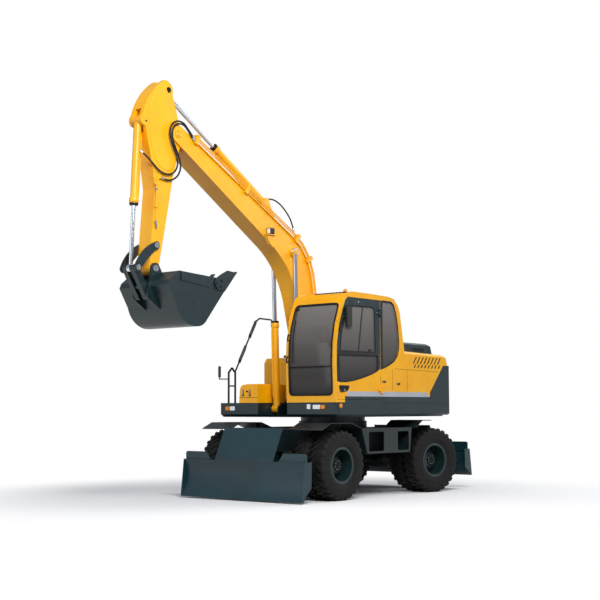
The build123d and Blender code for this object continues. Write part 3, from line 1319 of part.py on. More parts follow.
with BuildPart() as bucket:
    with BuildSketch(side(BOOM_Y)) as bucket_shape:
        with BuildLine():
            crown = Line(BUCKET_LIP, BUCKET_MOUTH)
            mouth = Line(crown @ 1, BUCKET_APEX)
            lid = Line(mouth @ 1, (4185, 3170))
            spine = Line(lid @ 1, (4215, 3100))
            back = Line(spine @ 1, (4050, 2830))
            heel = ThreePointArc(back @ 1, (3890, 2610), (3650, 2545))
            sole = ThreePointArc(heel @ 1, (3530, 2570), (3440, 2650))
            Line(sole @ 1, crown @ 0)
        make_face()
    extrude(amount=BUCKET_HALF, both=True)
    with BuildSketch(side(BOOM_Y)):
        with BuildLine():
            crown = Line((BUCKET_LIP[0] - 60, BUCKET_LIP[1] + 120), (4010, 3480))
            lid = Line(crown @ 1, (4010, 3285))
            lid2 = Line(lid @ 1, (4172, 3155))
            spine = Line(lid2 @ 1, (4192, 3102))
            back = Line(spine @ 1, (4032, 2842))
            heel = ThreePointArc(back @ 1, (3878, 2627), (3650, 2567))
            sole = ThreePointArc(heel @ 1, (3540, 2590), (3456, 2664))
            Line(sole @ 1, crown @ 0)
        make_face()
    extrude(amount=BUCKET_HALF - BUCKET_T, both=True, mode=Mode.SUBTRACT)
    with BuildSketch(side(BOOM_Y)):
        Polygon(
            (BUCKET_LIP[0] + 60, BUCKET_LIP[1] - 72), (BUCKET_LIP[0] - 30, BUCKET_LIP[1] + 36),
            (BUCKET_LIP[0] - 18, BUCKET_LIP[1] + 48), (BUCKET_LIP[0] + 84, BUCKET_LIP[1] - 50), align=None,
        )
    extrude(amount=BUCKET_HALF - 8, both=True)
    for tooth in (-2, -1, 0, 1, 2):
        with BuildSketch(side(BOOM_Y + tooth * (BUCKET_HALF - 50) / 2)):
            Polygon(
                (BUCKET_LIP[0] + 50, BUCKET_LIP[1] - 90), (BUCKET_LIP[0] + 90, BUCKET_LIP[1] - 30),
                (TOOTH_TIP[0] + 14, TOOTH_TIP[1] + 6), TOOTH_TIP, align=None,
            )
        extrude(amount=36, both=True)
    for flank in (1, -1):
        with BuildSketch(side(BOOM_Y + flank * BUCKET_HALF)):
            Polygon(
                (BUCKET_MOUTH[0] + 30, BUCKET_MOUTH[1] - 4), (BUCKET_APEX[0] - 40, BUCKET_APEX[1] - 6),
                (BUCKET_APEX[0] - 40, BUCKET_APEX[1] - 130), (BUCKET_MOUTH[0] + 120, BUCKET_MOUTH[1] - 150),
                align=None,
            )
        extrude(amount=-flank * STRIP_T)
        with BuildSketch(side(BOOM_Y + flank * BUCKET_HALF)):
            Polygon(*SIDE_CUTTER, align=None)
        extrude(amount=-flank * CUTTER_T)
        with BuildSketch(side(BOOM_Y + flank * (BUCKET_HALF + CUTTER_T))):
            with Locations(*CUTTER_BOLTS):
                RegularPolygon(24, 6)
        extrude(amount=-flank * STRIP_T)
        with BuildSketch(side(BOOM_Y + flank * EAR_IN)):
            with Locations(BUCKET_PIN):
                Circle(EAR_R)
            with Locations(BUCKET_LINK_PIN):
                Circle(EAR_R - 20)
            Polygon(
                (BUCKET_PIN[0] + EAR_R, BUCKET_PIN[1]), (BUCKET_LINK_PIN[0] + 60, BUCKET_LINK_PIN[1] + 20),
                (BUCKET_LINK_PIN[0] + 30, BUCKET_LINK_PIN[1] - 55), (4010, 2760), (3990, 2840),
                (4120, 3090), (4080, 3180), (3995, 3290), (BUCKET_PIN[0] - 70, BUCKET_PIN[1] + 45),
                align=None,
            )
            with Locations(BUCKET_PIN):
                Circle(PIN_R + RUN_FIT, mode=Mode.SUBTRACT)
        extrude(amount=-flank * (CHEEK_T - 2))
        with BuildSketch(side(BOOM_Y + flank * (LINK_OUT + 5))):
            with Locations(BUCKET_LINK_PIN):
                Circle(PIN_R - 4)
        extrude(amount=-flank * (EAR_IN + CHEEK_T + 4 - LINK_OUT - 5))
    with BuildSketch(side(BOOM_Y)):
        with BuildLine():
            lid = Line((4010, 3285), (4172, 3155))
            spine = Line(lid @ 1, (4192, 3102))
            back = Line(spine @ 1, (4032, 2842))
            Line(back @ 1, (3700, 2900))
            Line((3700, 2900), lid @ 0)
        make_face()
    extrude(amount=EAR_IN + 60, both=True, mode=Mode.SUBTRACT)
bucket.part.label = "bucket"
export_step(bucket.part, "parts/bucket.step")
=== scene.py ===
# %% [markdown]
# # A wheeled excavator, dressed in Blender
# The machine's solids come from CAD and stay where they are. This file gives them their paint,
# rubber, chrome and glass, and adds what is too thin or too small for the solids: panel seams,
# pipes, hoses, lamps, wipers, bolts. Everything is in metres: +X from the tail to the boom,
# +Y to the cab's side, +Z up.

# %% Load the frame
import json
import math
import bmesh
import bpy
import numpy as np
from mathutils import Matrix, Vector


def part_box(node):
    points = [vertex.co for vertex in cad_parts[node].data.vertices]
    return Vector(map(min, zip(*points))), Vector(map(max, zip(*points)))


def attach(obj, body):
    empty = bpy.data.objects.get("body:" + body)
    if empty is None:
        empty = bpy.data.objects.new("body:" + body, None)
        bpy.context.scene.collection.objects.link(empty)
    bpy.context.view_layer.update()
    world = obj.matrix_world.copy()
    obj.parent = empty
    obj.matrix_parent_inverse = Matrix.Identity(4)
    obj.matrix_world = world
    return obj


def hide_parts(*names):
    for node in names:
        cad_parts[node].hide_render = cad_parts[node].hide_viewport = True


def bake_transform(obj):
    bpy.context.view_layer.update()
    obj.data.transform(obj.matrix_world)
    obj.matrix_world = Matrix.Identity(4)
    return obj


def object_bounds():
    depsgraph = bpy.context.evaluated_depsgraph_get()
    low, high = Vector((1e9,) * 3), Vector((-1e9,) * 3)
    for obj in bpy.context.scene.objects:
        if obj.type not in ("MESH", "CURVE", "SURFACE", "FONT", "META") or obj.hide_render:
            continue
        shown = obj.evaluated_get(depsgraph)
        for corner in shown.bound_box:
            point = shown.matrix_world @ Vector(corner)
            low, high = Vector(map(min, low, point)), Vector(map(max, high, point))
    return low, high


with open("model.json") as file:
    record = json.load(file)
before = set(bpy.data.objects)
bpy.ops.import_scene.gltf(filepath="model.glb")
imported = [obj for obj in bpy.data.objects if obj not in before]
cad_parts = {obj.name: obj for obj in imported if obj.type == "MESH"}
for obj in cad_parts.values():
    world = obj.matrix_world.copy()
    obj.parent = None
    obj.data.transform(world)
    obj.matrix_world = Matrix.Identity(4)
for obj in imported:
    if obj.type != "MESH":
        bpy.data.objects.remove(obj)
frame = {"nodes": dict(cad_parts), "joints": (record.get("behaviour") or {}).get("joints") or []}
cad_box = [[float(v) for v in corner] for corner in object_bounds()]
nodes = frame["nodes"]
SWING_X = -1.1185  # the slewing axis
BOOM_Y = -0.040  # the boom's own plane
print("nodes", len(nodes), "box", cad_box)


# %% [markdown]
# ## Colour
# Paint and rubber are matched as sRGB hex values, the way a paint chart or a screen shows
# them. Blender's shaders work on linear light, so one function turns a hex value into linear RGB.

# %% Hex to linear
def linear(hex_value):
    """sRGB to linear: c / 12.92 up to 0.04045, and ((c + 0.055) / 1.055) ** 2.4 above it."""
    c = np.array([int(hex_value[i:i + 2], 16) for i in (1, 3, 5)]) / 255.0
    c = np.where(c <= 0.04045, c / 12.92, ((c + 0.055) / 1.055) ** 2.4)
    return (*c.tolist(), 1.0)


print("mid grey #808080 is", round(linear("#808080")[0], 3), "in linear light")

# %% [markdown]
# ## Building materials
# Every finish below is a Principled shader with some pattern in front of it. `add` makes a node,
# sets its inputs and joins its links in one call, so each material reads as a short list. The
# patterns read Object coordinates, in metres, so a scale is 1000 divided by a size in millimetres.

# %% One function that adds a node
def add(tree, kind, settings=None, stops=(), **inputs):
    """New node of a kind, linked.

    settings are its own attributes, stops a colour ramp's (position, colour) pairs, and inputs are
    values, sockets or nodes, of which the first output is taken. _0 is the input with that number.
    """
    node = tree.nodes.new("ShaderNode" + kind)
    for key, value in (settings or {}).items():
        setattr(node, key, value)
    for index, (position, colour) in enumerate(stops):
        element = node.color_ramp.elements[index]
        element.position, element.color = position, colour
    for key, value in inputs.items():
        socket = node.inputs[int(key[1:]) if key[1:].isdigit() else key.replace("_", " ")]
        if isinstance(value, bpy.types.Node):
            value = value.outputs[0]
        if isinstance(value, bpy.types.NodeSocket):
            tree.links.new(value, socket)
        else:
            socket.default_value = value
    return node


def material(name):
    """Empty material with Object coordinates ready."""
    m = bpy.data.materials.new(name)
    m.use_nodes = True
    m.node_tree.nodes.clear()
    tree = m.node_tree
    place = add(tree, "TexCoord").outputs["Object"]
    return m, tree, place


def finish(tree, shader):
    """Join the last shader to the material's output."""
    add(tree, "OutputMaterial", Surface=shader)


# %% [markdown]
# ## Machine enamel
# A construction machine is sprayed with one thick coat of alkyd enamel. It dries glossy with a
# faint orange peel, bumps a few millimetres apart. Dust dries on it in faint spots, which are
# browner than the paint. The coat is a dielectric with an IOR near 1.5. Where one panel carries
# two colours, the second is laid on by boxes or by a curve instead of cutting the panel, because
# on the real one it is masked with tape too.

# %% Enamel, with boxes and a curve painted in other coats
DUST = linear("#6E6250")
COAT_WEIGHT, COAT_ROUGH = 0.12, 0.22
CLOUDS, SPOTS, PEEL = 1.6, 9.0, 220.0  # 625 mm, 110 mm and 4.5 mm across
MULTIPLY, OVER, UNDER = [{"operation": word} for word in ("MULTIPLY", "GREATER_THAN", "LESS_THAN")]
COLOURS = {"data_type": "RGBA"}  # a Mix node then takes its factor at 0 and its colours at 6 and 7


def enamel(name, colour, dark, rough=0.32, dust=0.20, bands=(), curve=None):
    """Sprayed enamel: colour drifts to dark over half a metre, and dust lies in spots of a decimetre.

    bands are boxes, (low corner, high corner, colour), painted in another coat. curve is
    (x, z, steepness, colour): the coat above z + steepness * (x - here) ** 1.5.
    """
    m, tree, place = material(name)
    cloud = add(tree, "TexNoise", Vector=place, Scale=CLOUDS, Detail=5.0, Roughness=0.6)
    coat = add(tree, "ValToRGB", Fac=cloud, stops=((0.35, colour), (0.75, dark)))
    axes = add(tree, "SeparateXYZ", Vector=place).outputs
    if curve:
        start_x, start_z, steep, other = curve
        back = add(tree, "Math", {"operation": "SUBTRACT"}, _0=start_x, _1=axes[0])
        back = add(tree, "Math", {"operation": "MAXIMUM"}, _0=back, _1=0.0)
        bend = add(tree, "Math", {"operation": "POWER"}, _0=back, _1=1.5)
        rise = add(tree, "Math", MULTIPLY, _0=bend, _1=steep)
        line = add(tree, "Math", {"operation": "ADD"}, _0=rise, _1=start_z)
        above = add(tree, "Math", OVER, _0=axes[2], _1=line)
        coat = add(tree, "Mix", COLOURS, _0=above, _6=coat, _7=other).outputs[2]
    for low, high, other in bands:
        inside = 1.0
        for axis in range(3):
            above = add(tree, "Math", OVER, _0=axes[axis], _1=low[axis])
            below = add(tree, "Math", UNDER, _0=axes[axis], _1=high[axis])
            both = add(tree, "Math", MULTIPLY, _0=above, _1=below)
            inside = add(tree, "Math", MULTIPLY, _0=inside, _1=both)
        coat = add(tree, "Mix", COLOURS, _0=inside, _6=coat, _7=other).outputs[2]
    grime = add(tree, "TexNoise", Vector=place, Scale=SPOTS, Detail=6.0, Roughness=0.65)
    spots = add(tree, "ValToRGB", Fac=grime, stops=((0.52, (0, 0, 0, 1)), (0.80, (dust, dust, dust, 1))))
    dusty = add(tree, "Mix", COLOURS, _0=spots, _6=coat, _7=DUST).outputs[2]
    gloss = add(tree, "MapRange", Value=grime, _3=rough - 0.06, _4=rough + 0.16)
    peel = add(tree, "TexNoise", Vector=place, Scale=PEEL, Detail=1.0)
    bump = add(tree, "Bump", Height=peel, Strength=0.05, Distance=0.001)
    shader = add(
        tree, "BsdfPrincipled", _0=dusty, Roughness=gloss, IOR=1.5, Normal=bump,
        Coat_Weight=COAT_WEIGHT, Coat_Roughness=COAT_ROUGH,
    )
    finish(tree, shader)
    return m


# %% [markdown]
# ## Which coats the machine wears
# Each colour has a second, slightly deeper one that it drifts to, because a sprayed coat is never
# quite even. Gloss falls from the house to the chassis, where dust and stones take it first.

# %% The machine's enamels
YELLOW, YELLOW_DEEP = linear("#FFBA00"), linear("#F8A800")
GREEN, GREEN_DEEP = linear("#10292E"), linear("#0C1F23")
SILVER, SILVER_DEEP = linear("#B9BCC4"), linear("#A9ADB6")
# Warm signal yellow of the boom, cab and tanks, and the blackish green of frame and weight
yellow_enamel = enamel("yellow_enamel", YELLOW, YELLOW_DEEP)
green_enamel = enamel("dark_green_enamel", GREEN, GREEN_DEEP, rough=0.34, dust=0.06)
# The blades are sprayed thicker and bluer, the chassis thinner and duller, the rims satin
blade_enamel = enamel("blade_green_enamel", linear("#10363F"), linear("#0C2A32"), rough=0.36, dust=0.06)
chassis_enamel = enamel("chassis_green_enamel", linear("#0D1E21"), linear("#091518"), rough=0.42, dust=0.06)
rim_enamel = enamel("rim_green_enamel", linear("#163030"), linear("#0F2324"), rough=0.38, dust=0.10)
# The stripe's silver has fine aluminium in it, too fine to see: it reads as a light satin grey
silver_enamel = enamel("silver_enamel", SILVER, SILVER_DEEP, rough=0.34, dust=0.15)
# Two-tone panels: the dark sill, the dark hinge post, and the door's swept-up lower edge
BEYOND = 9.0  # further than any edge of the machine
SILL_TOP, SIDE_IN = 1.570, 1.190
SILL_BAND = ((-BEYOND, SIDE_IN, 1.0), (SWING_X + 1.250, BEYOND, SILL_TOP), GREEN)
HINGE_BAND = ((SWING_X + 0.25, 1.2365, 2.0), (SWING_X + 0.42, BEYOND, 3.0), GREEN)
DOOR_CURVE = (SWING_X + 1.236, 1.785, 0.25, GREEN)
BANDS = (SILL_BAND, HINGE_BAND)
side_enamel = enamel("house_side_enamel", YELLOW, YELLOW_DEEP, bands=BANDS)
door_enamel = enamel("door_two_tone_enamel", YELLOW, YELLOW_DEEP, bands=BANDS, curve=DOOR_CURVE)
print("enamels ready")


# %% [markdown]
# ## Rubber
# Tyres are carbon-black rubber: nearly black when new, scuffed to a dark grey in patches by use.
# Rubber is rough, with a wide soft highlight. Hoses and window seals are the same stuff, extruded,
# so they are smoother. The real grain is under a millimetre, so it is drawn at 2.4 mm, as coarse
# as it needs to show.

# %% Rubber
SCUFFS, RUBBER_GRAIN = 14.0, 420.0  # 70 mm and 2.4 mm


def rubber(name, colour, worn, rough=0.72):
    """Vulcanised rubber: scuffs of some centimetres in the worn colour, fine grain as a bump."""
    m, tree, place = material(name)
    scuff = add(tree, "TexNoise", Vector=place, Scale=SCUFFS, Detail=7.0, Roughness=0.7)
    coat = add(tree, "ValToRGB", Fac=scuff, stops=((0.42, colour), (0.72, worn)))
    grain = add(tree, "TexNoise", Vector=place, Scale=RUBBER_GRAIN, Detail=2.0)
    bump = add(tree, "Bump", Height=grain, Strength=0.25, Distance=0.001)
    shader = add(
        tree, "BsdfPrincipled", _0=coat, Roughness=rough, IOR=1.52, Normal=bump,
        Specular_IOR_Level=0.3,
    )
    finish(tree, shader)
    return m


tyre_rubber = rubber("tyre_rubber", linear("#0B0909"), linear("#1B1716"))
hose_rubber = rubber("hose_rubber", linear("#141414"), linear("#242424"), rough=0.55)
seal_rubber = rubber("window_seal_rubber", linear("#0E0E0F"), linear("#1C1C1E"), rough=0.6)
print("rubbers ready")

# %% [markdown]
# ## Chrome, zinc and iron
# A rod is ground and plated with hard chrome, so it mirrors the room. Pins and bolts are plated
# with zinc and turn a soft grey. Axle housings are cast iron with a thin dark primer, so only part
# of what they reflect is metal. Handling leaves a gloss that wanders over a few centimetres.

# %% Metals
HANDLING = 60.0  # 17 mm, in clouds of a few centimetres


def metal(name, colour, rough, metallic=1.0, streak=0.08):
    """Bare or plated metal whose roughness wanders by `streak` to either side."""
    m, tree, place = material(name)
    cloud = add(tree, "TexNoise", Vector=place, Scale=HANDLING, Detail=4.0)
    gloss = add(tree, "MapRange", Value=cloud, _3=rough - streak, _4=rough + streak)
    finish(tree, add(tree, "BsdfPrincipled", _0=colour, Metallic=metallic, Roughness=gloss))
    return m


chrome = metal("hard_chrome_rod", linear("#D8DCE4"), 0.14, streak=0.05)
pin_steel = metal("zinc_plated_pin_steel", linear("#B4B7BA"), 0.34)
cast_iron = metal("cast_iron_housing", linear("#181C1C"), 0.55, metallic=0.6)
mirror_glass = metal("mirror_glass", linear("#8A8F92"), 0.05, streak=0.02)
print("metals ready")

# %% [markdown]
# ## Plastics and cloth
# Trim is moulded polypropylene with a leather grain etched into the mould, which breaks up its
# highlight. The seat is woven: the same cells, a little coarser and much rougher, stand for its
# weave, because it is only seen through tinted glass.

# %% Plastics and the seat's cloth
LEATHER, WEAVE, FADING = 700.0, 500.0, 6.0  # 1.4 mm, 2 mm and 170 mm


def plastic(name, colour, rough=0.5, grain_scale=LEATHER):
    """Moulded plastic: cells as a shallow bump, roughness wandering over some decimetres."""
    m, tree, place = material(name)
    grain = add(tree, "TexVoronoi", Vector=place, Scale=grain_scale)
    bump = add(tree, "Bump", Height=grain, Strength=0.15, Distance=0.0005)
    cloud = add(tree, "TexNoise", Vector=place, Scale=FADING, Detail=4.0)
    gloss = add(tree, "MapRange", Value=cloud, _3=rough - 0.08, _4=rough + 0.1)
    finish(tree, add(tree, "BsdfPrincipled", _0=colour, Roughness=gloss, IOR=1.46, Normal=bump))
    return m


black_plastic = plastic("black_moulded_plastic", linear("#151517"))
grey_plastic = plastic("grey_cab_trim", linear("#35373A"))
seat_cloth = plastic("seat_weave", linear("#2A2B2E"), rough=0.85, grain_scale=WEAVE)
print("plastics ready")

# %% [markdown]
# ## Glass and lenses
# The cab's panes are toughened glass with a grey tint. Real glass would need a room around it to
# reflect. Here a clear layer and a glossy one are mixed, and the glossy one's colour grows paler
# with height: a painted reflection of the pale sky on a pane that leans back. Lenses are moulded acrylic
# with ribs.

# %% Glass and lenses
SMEARS, RIBS = 2.5, 160.0  # smears of 400 mm; a wave repeats each 314 mm / scale, here 2 mm
# heights between which the glass's painted sky reflection goes from dark tint to pale
REFLECTION_LOW, REFLECTION_HIGH = 1.60, 3.00


def tinted_glass(name, low_colour, sky_reflection_colour, depth):
    """Grey glass: `depth` of a glossy sheet, the rest clear. Its colour pales with height: a painted sky
    reflection.
    """
    m, tree, place = material(name)
    height = add(tree, "SeparateXYZ", Vector=place).outputs[2]
    rise = add(tree, "MapRange", Value=height, _1=REFLECTION_LOW, _2=REFLECTION_HIGH)
    # painted reflection: the sheet's colour grows paler with height, where a leaning pane would reflect the
    # sky
    tone = add(tree, "ValToRGB", Fac=rise, stops=((0.0, low_colour), (1.0, sky_reflection_colour)))
    cloud = add(tree, "TexNoise", Vector=place, Scale=SMEARS, Detail=3.0)
    gloss = add(tree, "MapRange", Value=cloud, _3=0.02, _4=0.07)
    sheet = add(tree, "BsdfPrincipled", _0=tone, Roughness=gloss, IOR=1.5)
    clear = add(tree, "BsdfTransparent", Color=linear("#8E8B89"))
    finish(tree, add(tree, "MixShader", _0=depth, _1=clear, _2=sheet))
    return m


def lamp_lens(name, colour):
    """Moulded lens: clear or coloured acrylic with fine ribs as a bump."""
    m, tree, place = material(name)
    wave = add(tree, "TexWave", Vector=place, Scale=RIBS).outputs["Fac"]
    bump = add(tree, "Bump", Height=wave, Strength=0.4, Distance=0.002)
    finish(tree, add(tree, "BsdfPrincipled", _0=colour, Roughness=0.15, IOR=1.49, Normal=bump))
    return m


# grey tint low down, a painted reflection of a pale sky towards the roof
glass_tint_and_painted_sky = tinted_glass("grey_tinted_glass", linear("#2E2B2A"), linear("#A5A09C"), 0.55)
white_lens = lamp_lens("clear_lamp_lens", linear("#F2F4F6"))
amber_lens = lamp_lens("amber_lamp_lens", linear("#F08A1C"))
print("materials", len(bpy.data.materials))


# %% [markdown]
# ## Shapes from arrays
# Most of what is added here is one of three things: lathe work (bolts, lamps, tyres), a section
# carried along a path (seals, seams, pipes), or a flat plate with broken edges. Each is computed
# as whole numpy arrays and handed to the mesh in one go. That keeps a shape as one readable
# formula, and repeats a bolt a hundred times without a loop over its corners.

# %% A mesh from arrays
FORE, LEFT, UP = (1.0, 0.0, 0.0), (0.0, 1.0, 0.0), (0.0, 0.0, 1.0)


def at(*point):
    """A point measured from the slewing axis, in metres, as a point of the frame."""
    return np.array(point, float) + (SWING_X, 0.0, 0.0)


def unit(vectors):
    """Vectors scaled to length one."""
    return vectors / np.linalg.norm(vectors, axis=-1, keepdims=True)


def piece(name, points, faces, coat, body, crease=32):
    """Mesh from corner points and faces, welded, turned outwards, shaded smooth below the crease."""
    mesh = bpy.data.meshes.new(name)
    mesh.from_pydata(np.asarray(points, float).reshape(-1, 3).tolist(), [], faces)
    work = bmesh.new()
    work.from_mesh(mesh)
    bmesh.ops.remove_doubles(work, verts=work.verts, dist=1e-6)
    bmesh.ops.recalc_face_normals(work, faces=work.faces)
    work.to_mesh(mesh)
    work.free()
    mesh.shade_smooth()
    mesh.set_sharp_from_angle(angle=math.radians(crease))
    mesh.materials.append(coat)
    obj = bpy.data.objects.new(name, mesh)
    bpy.context.collection.objects.link(obj)
    if body:
        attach(obj, body)
    return obj


def skin(copies, rows, sides, closed=False):
    """Quads of `copies` tubes of `rows` rings, with a flat cap at both ends unless it is a ring."""
    ring = np.arange(sides)
    row = np.arange(rows if closed else rows - 1)[:, None]
    here, there = row * sides, (row + 1) % rows * sides
    quads = np.stack([here + ring, here + (ring + 1) % sides, there + (ring + 1) % sides, there + ring], -1)
    start = np.arange(copies)[:, None, None] * rows * sides
    faces = (quads.reshape(1, -1, 4) + start).reshape(-1, 4).tolist()
    if not closed:
        caps = np.stack([ring, ring + (rows - 1) * sides]) + start
        faces += caps.reshape(-1, sides).tolist()
    return faces


# %% [markdown]
# ## Lathe work
# A bolt, a lamp, a gland or a tyre is a body of revolution. Its profile is a table of distances
# along the axis and radii, turned in even steps: 32 steps look round, 6 make a hexagon. One call
# turns the profile at many places at once, so ten wheel nuts are one mesh.

# %% Lathe work
ASKEW = (0.31, 0.17, 0.93)  # no axis of the machine lies this way


def turned(name, profile, places, axes, coat, body, sides=32, closed=False, crease=32):
    """Profile rows (along, radius) turned: place + axis * along + radius * (u cos t + v sin t)."""
    profile = np.array(profile, float)
    places = np.atleast_2d(np.array(places, float))
    axes = unit(np.broadcast_to(np.array(axes, float), places.shape))
    u = unit(np.cross(axes, ASKEW))
    v = np.cross(axes, u)
    t = np.arange(sides) * math.tau / sides
    ring = u[:, None] * np.cos(t)[:, None] + v[:, None] * np.sin(t)[:, None]
    points = (
        places[:, None, None]
        + axes[:, None, None] * profile[:, 0][:, None, None]
        + ring[:, None] * profile[:, 1][:, None, None]
    )
    return piece(name, points, skin(len(places), len(profile), sides, closed), coat, body, crease)


def sized(profile, radius):
    """Profile whose second column is a share of the radius, brought to metres."""
    return [(along, share * radius) for along, share in profile]


HEX_BOLT = ((-0.002, 1.15), (0.002, 1.15), (0.003, 1.0), (0.010, 1.0), (0.012, 0.82))
HEX_R = 0.014  # the bolt of the table above


def bolts(name, places, axes, radius, body):
    """Hexagon heads on round washers, all of one size."""
    profile = [(along * radius / HEX_R, share * radius) for along, share in HEX_BOLT]
    return turned(name, profile, places, axes, pin_steel, body, sides=6, crease=20)


# %% [markdown]
# ## Sections along a path
# A seal, a seam, a pipe or a hose keeps one section all along. At a corner the section stands on
# the mitre between the two runs and is stretched by as much as the mitre is longer, so the strip
# keeps its width, like the corner of a picture frame.

# %% A section carried along a path
SHARPEST = 0.4  # cosine of half a turn, below which a mitre grows no longer
SWEPT_CREASE = 50


def swept(name, path, section, coat, body, up=UP, closed=False):
    """Section rows are (sideways, up); every ring stands on the mitre between the runs beside it."""
    path, section = np.array(path, float), np.array(section, float)
    ahead = unit(np.roll(path, -1, 0) - path)
    behind = np.roll(ahead, 1, 0)
    if not closed:
        ahead[-1], behind[0] = ahead[-2], ahead[0]
    along = unit(ahead + behind)
    across = unit(np.cross(np.broadcast_to(up, along.shape), along))
    lift = np.cross(along, across)
    mitre = 1.0 / np.maximum(np.sqrt((1.0 + (ahead * behind).sum(-1)) / 2.0), SHARPEST)
    points = (
        path[:, None]
        + across[:, None] * section[:, 0][:, None] * mitre[:, None, None]
        + lift[:, None] * section[:, 1][:, None]
    )
    return piece(name, points, skin(1, len(path), len(section), closed), coat, body, SWEPT_CREASE)


CUT = 0.25  # share of a bar's thinner side that its corners lose
ROUND_SIDES = 12


def bar(wide, high):
    """Rectangle section with its corners cut, so that its edges catch the light."""
    a, b, c = wide / 2, high / 2, min(wide, high) * CUT
    return [
        (a, c - b), (a, b - c), (a - c, b), (c - a, b),
        (-a, b - c), (-a, c - b), (c - a, -b), (a - c, -b),
    ]


def round_bar(radius):
    """Circle section: radius * (cos t, sin t)."""
    t = np.arange(ROUND_SIDES) * math.tau / ROUND_SIDES
    return np.stack([np.cos(t), np.sin(t)], -1) * radius


# %% [markdown]
# ## Outlines and plates
# Pressed and moulded parts have round corners and broken edges: sharp ones would catch no light
# and look cut from paper. An outline gets its corners rounded as points, then a thickness, and a
# Bevel modifier breaks what edges are left.

# %% Rounded outlines, and plates made from them
def rounded(corners, radius, steps=5):
    """Closed outline with each corner a quadratic curve that starts and ends a radius away from it."""
    corners = np.array(corners, float)
    before = unit(np.roll(corners, 1, 0) - corners) * radius + corners
    after = unit(np.roll(corners, -1, 0) - corners) * radius + corners
    t = np.linspace(0.0, 1.0, steps)[None, :, None]
    arcs = (1 - t) ** 2 * before[:, None] + 2 * t * (1 - t) * corners[:, None] + t ** 2 * after[:, None]
    return arcs.reshape(-1, corners.shape[-1])


def rectangle(a_from, a_to, b_from, b_to, radius):
    """Rectangle between two values of each coordinate, its corners rounded by the radius."""
    return rounded([(a_from, b_from), (a_to, b_from), (a_to, b_to), (a_from, b_to)], radius)


def broken(obj, width):
    """A Bevel modifier that breaks the edges, as a grinder or a mould does."""
    edge = obj.modifiers.new("broken edges", "BEVEL")
    edge.width, edge.segments = width, 2
    edge.limit_method, edge.angle_limit = "ANGLE", math.radians(40)
    return obj


def plate(name, outline, thick, coat, body, edge=0.001):
    """Flat outline given a thickness: a copy of its corners stands at the end of the vector `thick`."""
    outline = np.array(outline, float)
    points = np.stack([outline, outline + np.array(thick, float)])
    return broken(piece(name, points, skin(1, 2, len(outline)), coat, body), edge)


# %% [markdown]
# ## Drawings set up in the machine
# Most details are drawn flat, in the view that shows them: the side, the front or the top. Three
# functions stand such a drawing up at its place, measured from the slewing axis, because the
# house and the boom are laid out from there.

# %% Flat drawings set up in the machine
def flank(pairs, y):
    """Rows of (x, z), x from the slewing axis, on the upright plane at y."""
    return np.insert(np.array(pairs, float) + (SWING_X, 0.0), 1, y, axis=1)


def facing(pairs, x):
    """Rows of (y, z) on the upright plane across the machine, x from the slewing axis."""
    return np.insert(np.array(pairs, float), 0, x + SWING_X, axis=1)


def level(pairs, z):
    """Rows of (x, y), x from the slewing axis, at the height z."""
    return np.insert(np.array(pairs, float) + (SWING_X, 0.0), 2, z, axis=1)


def side_strip(name, run, y, size, coat, body, closed=False):
    """Strip with a (wide, high) section along rows of (x, z) on the machine's side."""
    return swept(name, flank(run, y), bar(*size), coat, body, up=LEFT, closed=closed)


def side_plate(name, outline, y, thick, coat, body, edge=0.001):
    """Plate on the machine's side, as thick as given towards the left."""
    return plate(name, flank(outline, y), (0, thick, 0), coat, body, edge)


print("helpers ready")


# %% [markdown]
# ## Dressing the solids
# Each CAD solid keeps its shape. Only the material in its slots changes, by how the node's name
# starts: the longest start that fits wins, and what isn't listed is chassis green.

# %% Which finish each node takes
FINISHES = (
    (tyre_rubber, "tyre_"),
    (rim_enamel, "rim_"),
    (cast_iron, "knuckle_ gearbox engine_block"),
    (seat_cloth, "seat"),
    (grey_plastic, "console"),
    (glass_tint_and_painted_sky, "cab_glass door_glass"),
    (side_enamel, "engine_hood cab_shell"),
    (door_enamel, "cab_door"),
    (chrome, "boom_rods arm_rod bucket_rod front_blade_rod rear_blade_rod"),
    (yellow_enamel, "boom boom_barrels boom_pipes arm arm_barrel bucket_barrel fuel_tank tool_box"),
    (green_enamel, "bucket bucket_link rocker house_frame counterweight hood_cover"),
    (blade_enamel, "front_blade rear_blade"),
    (chassis_enamel, "front_blade_barrel rear_blade_barrel"),
    (black_plastic, "work_lamp hand_rail mirror_left"),
)
FINISH = {start: coat for coat, starts in FINISHES for start in starts.split()}
for name, obj in nodes.items():
    keys = [key for key in FINISH if name.startswith(key)]
    coat = FINISH[max(keys, key=len)] if keys else chassis_enamel
    if not obj.material_slots:
        obj.data.materials.append(coat)
    for slot in obj.material_slots:
        slot.material = coat
print("dressed", len(nodes))


# %% [markdown]
# ## Twin tyres
# The machine stands on eight cross-ply tyres, in pairs. A tyre is lathe work: one cross-section
# turned about the axle. Its lugs are not, so they are a second surface: each lug is a short beam
# that runs from the middle of the tread to the shoulder, bent backwards, and the lugs of the two
# halves are staggered by half a pitch. The carcass and all its lugs replace the plain CAD tyre.

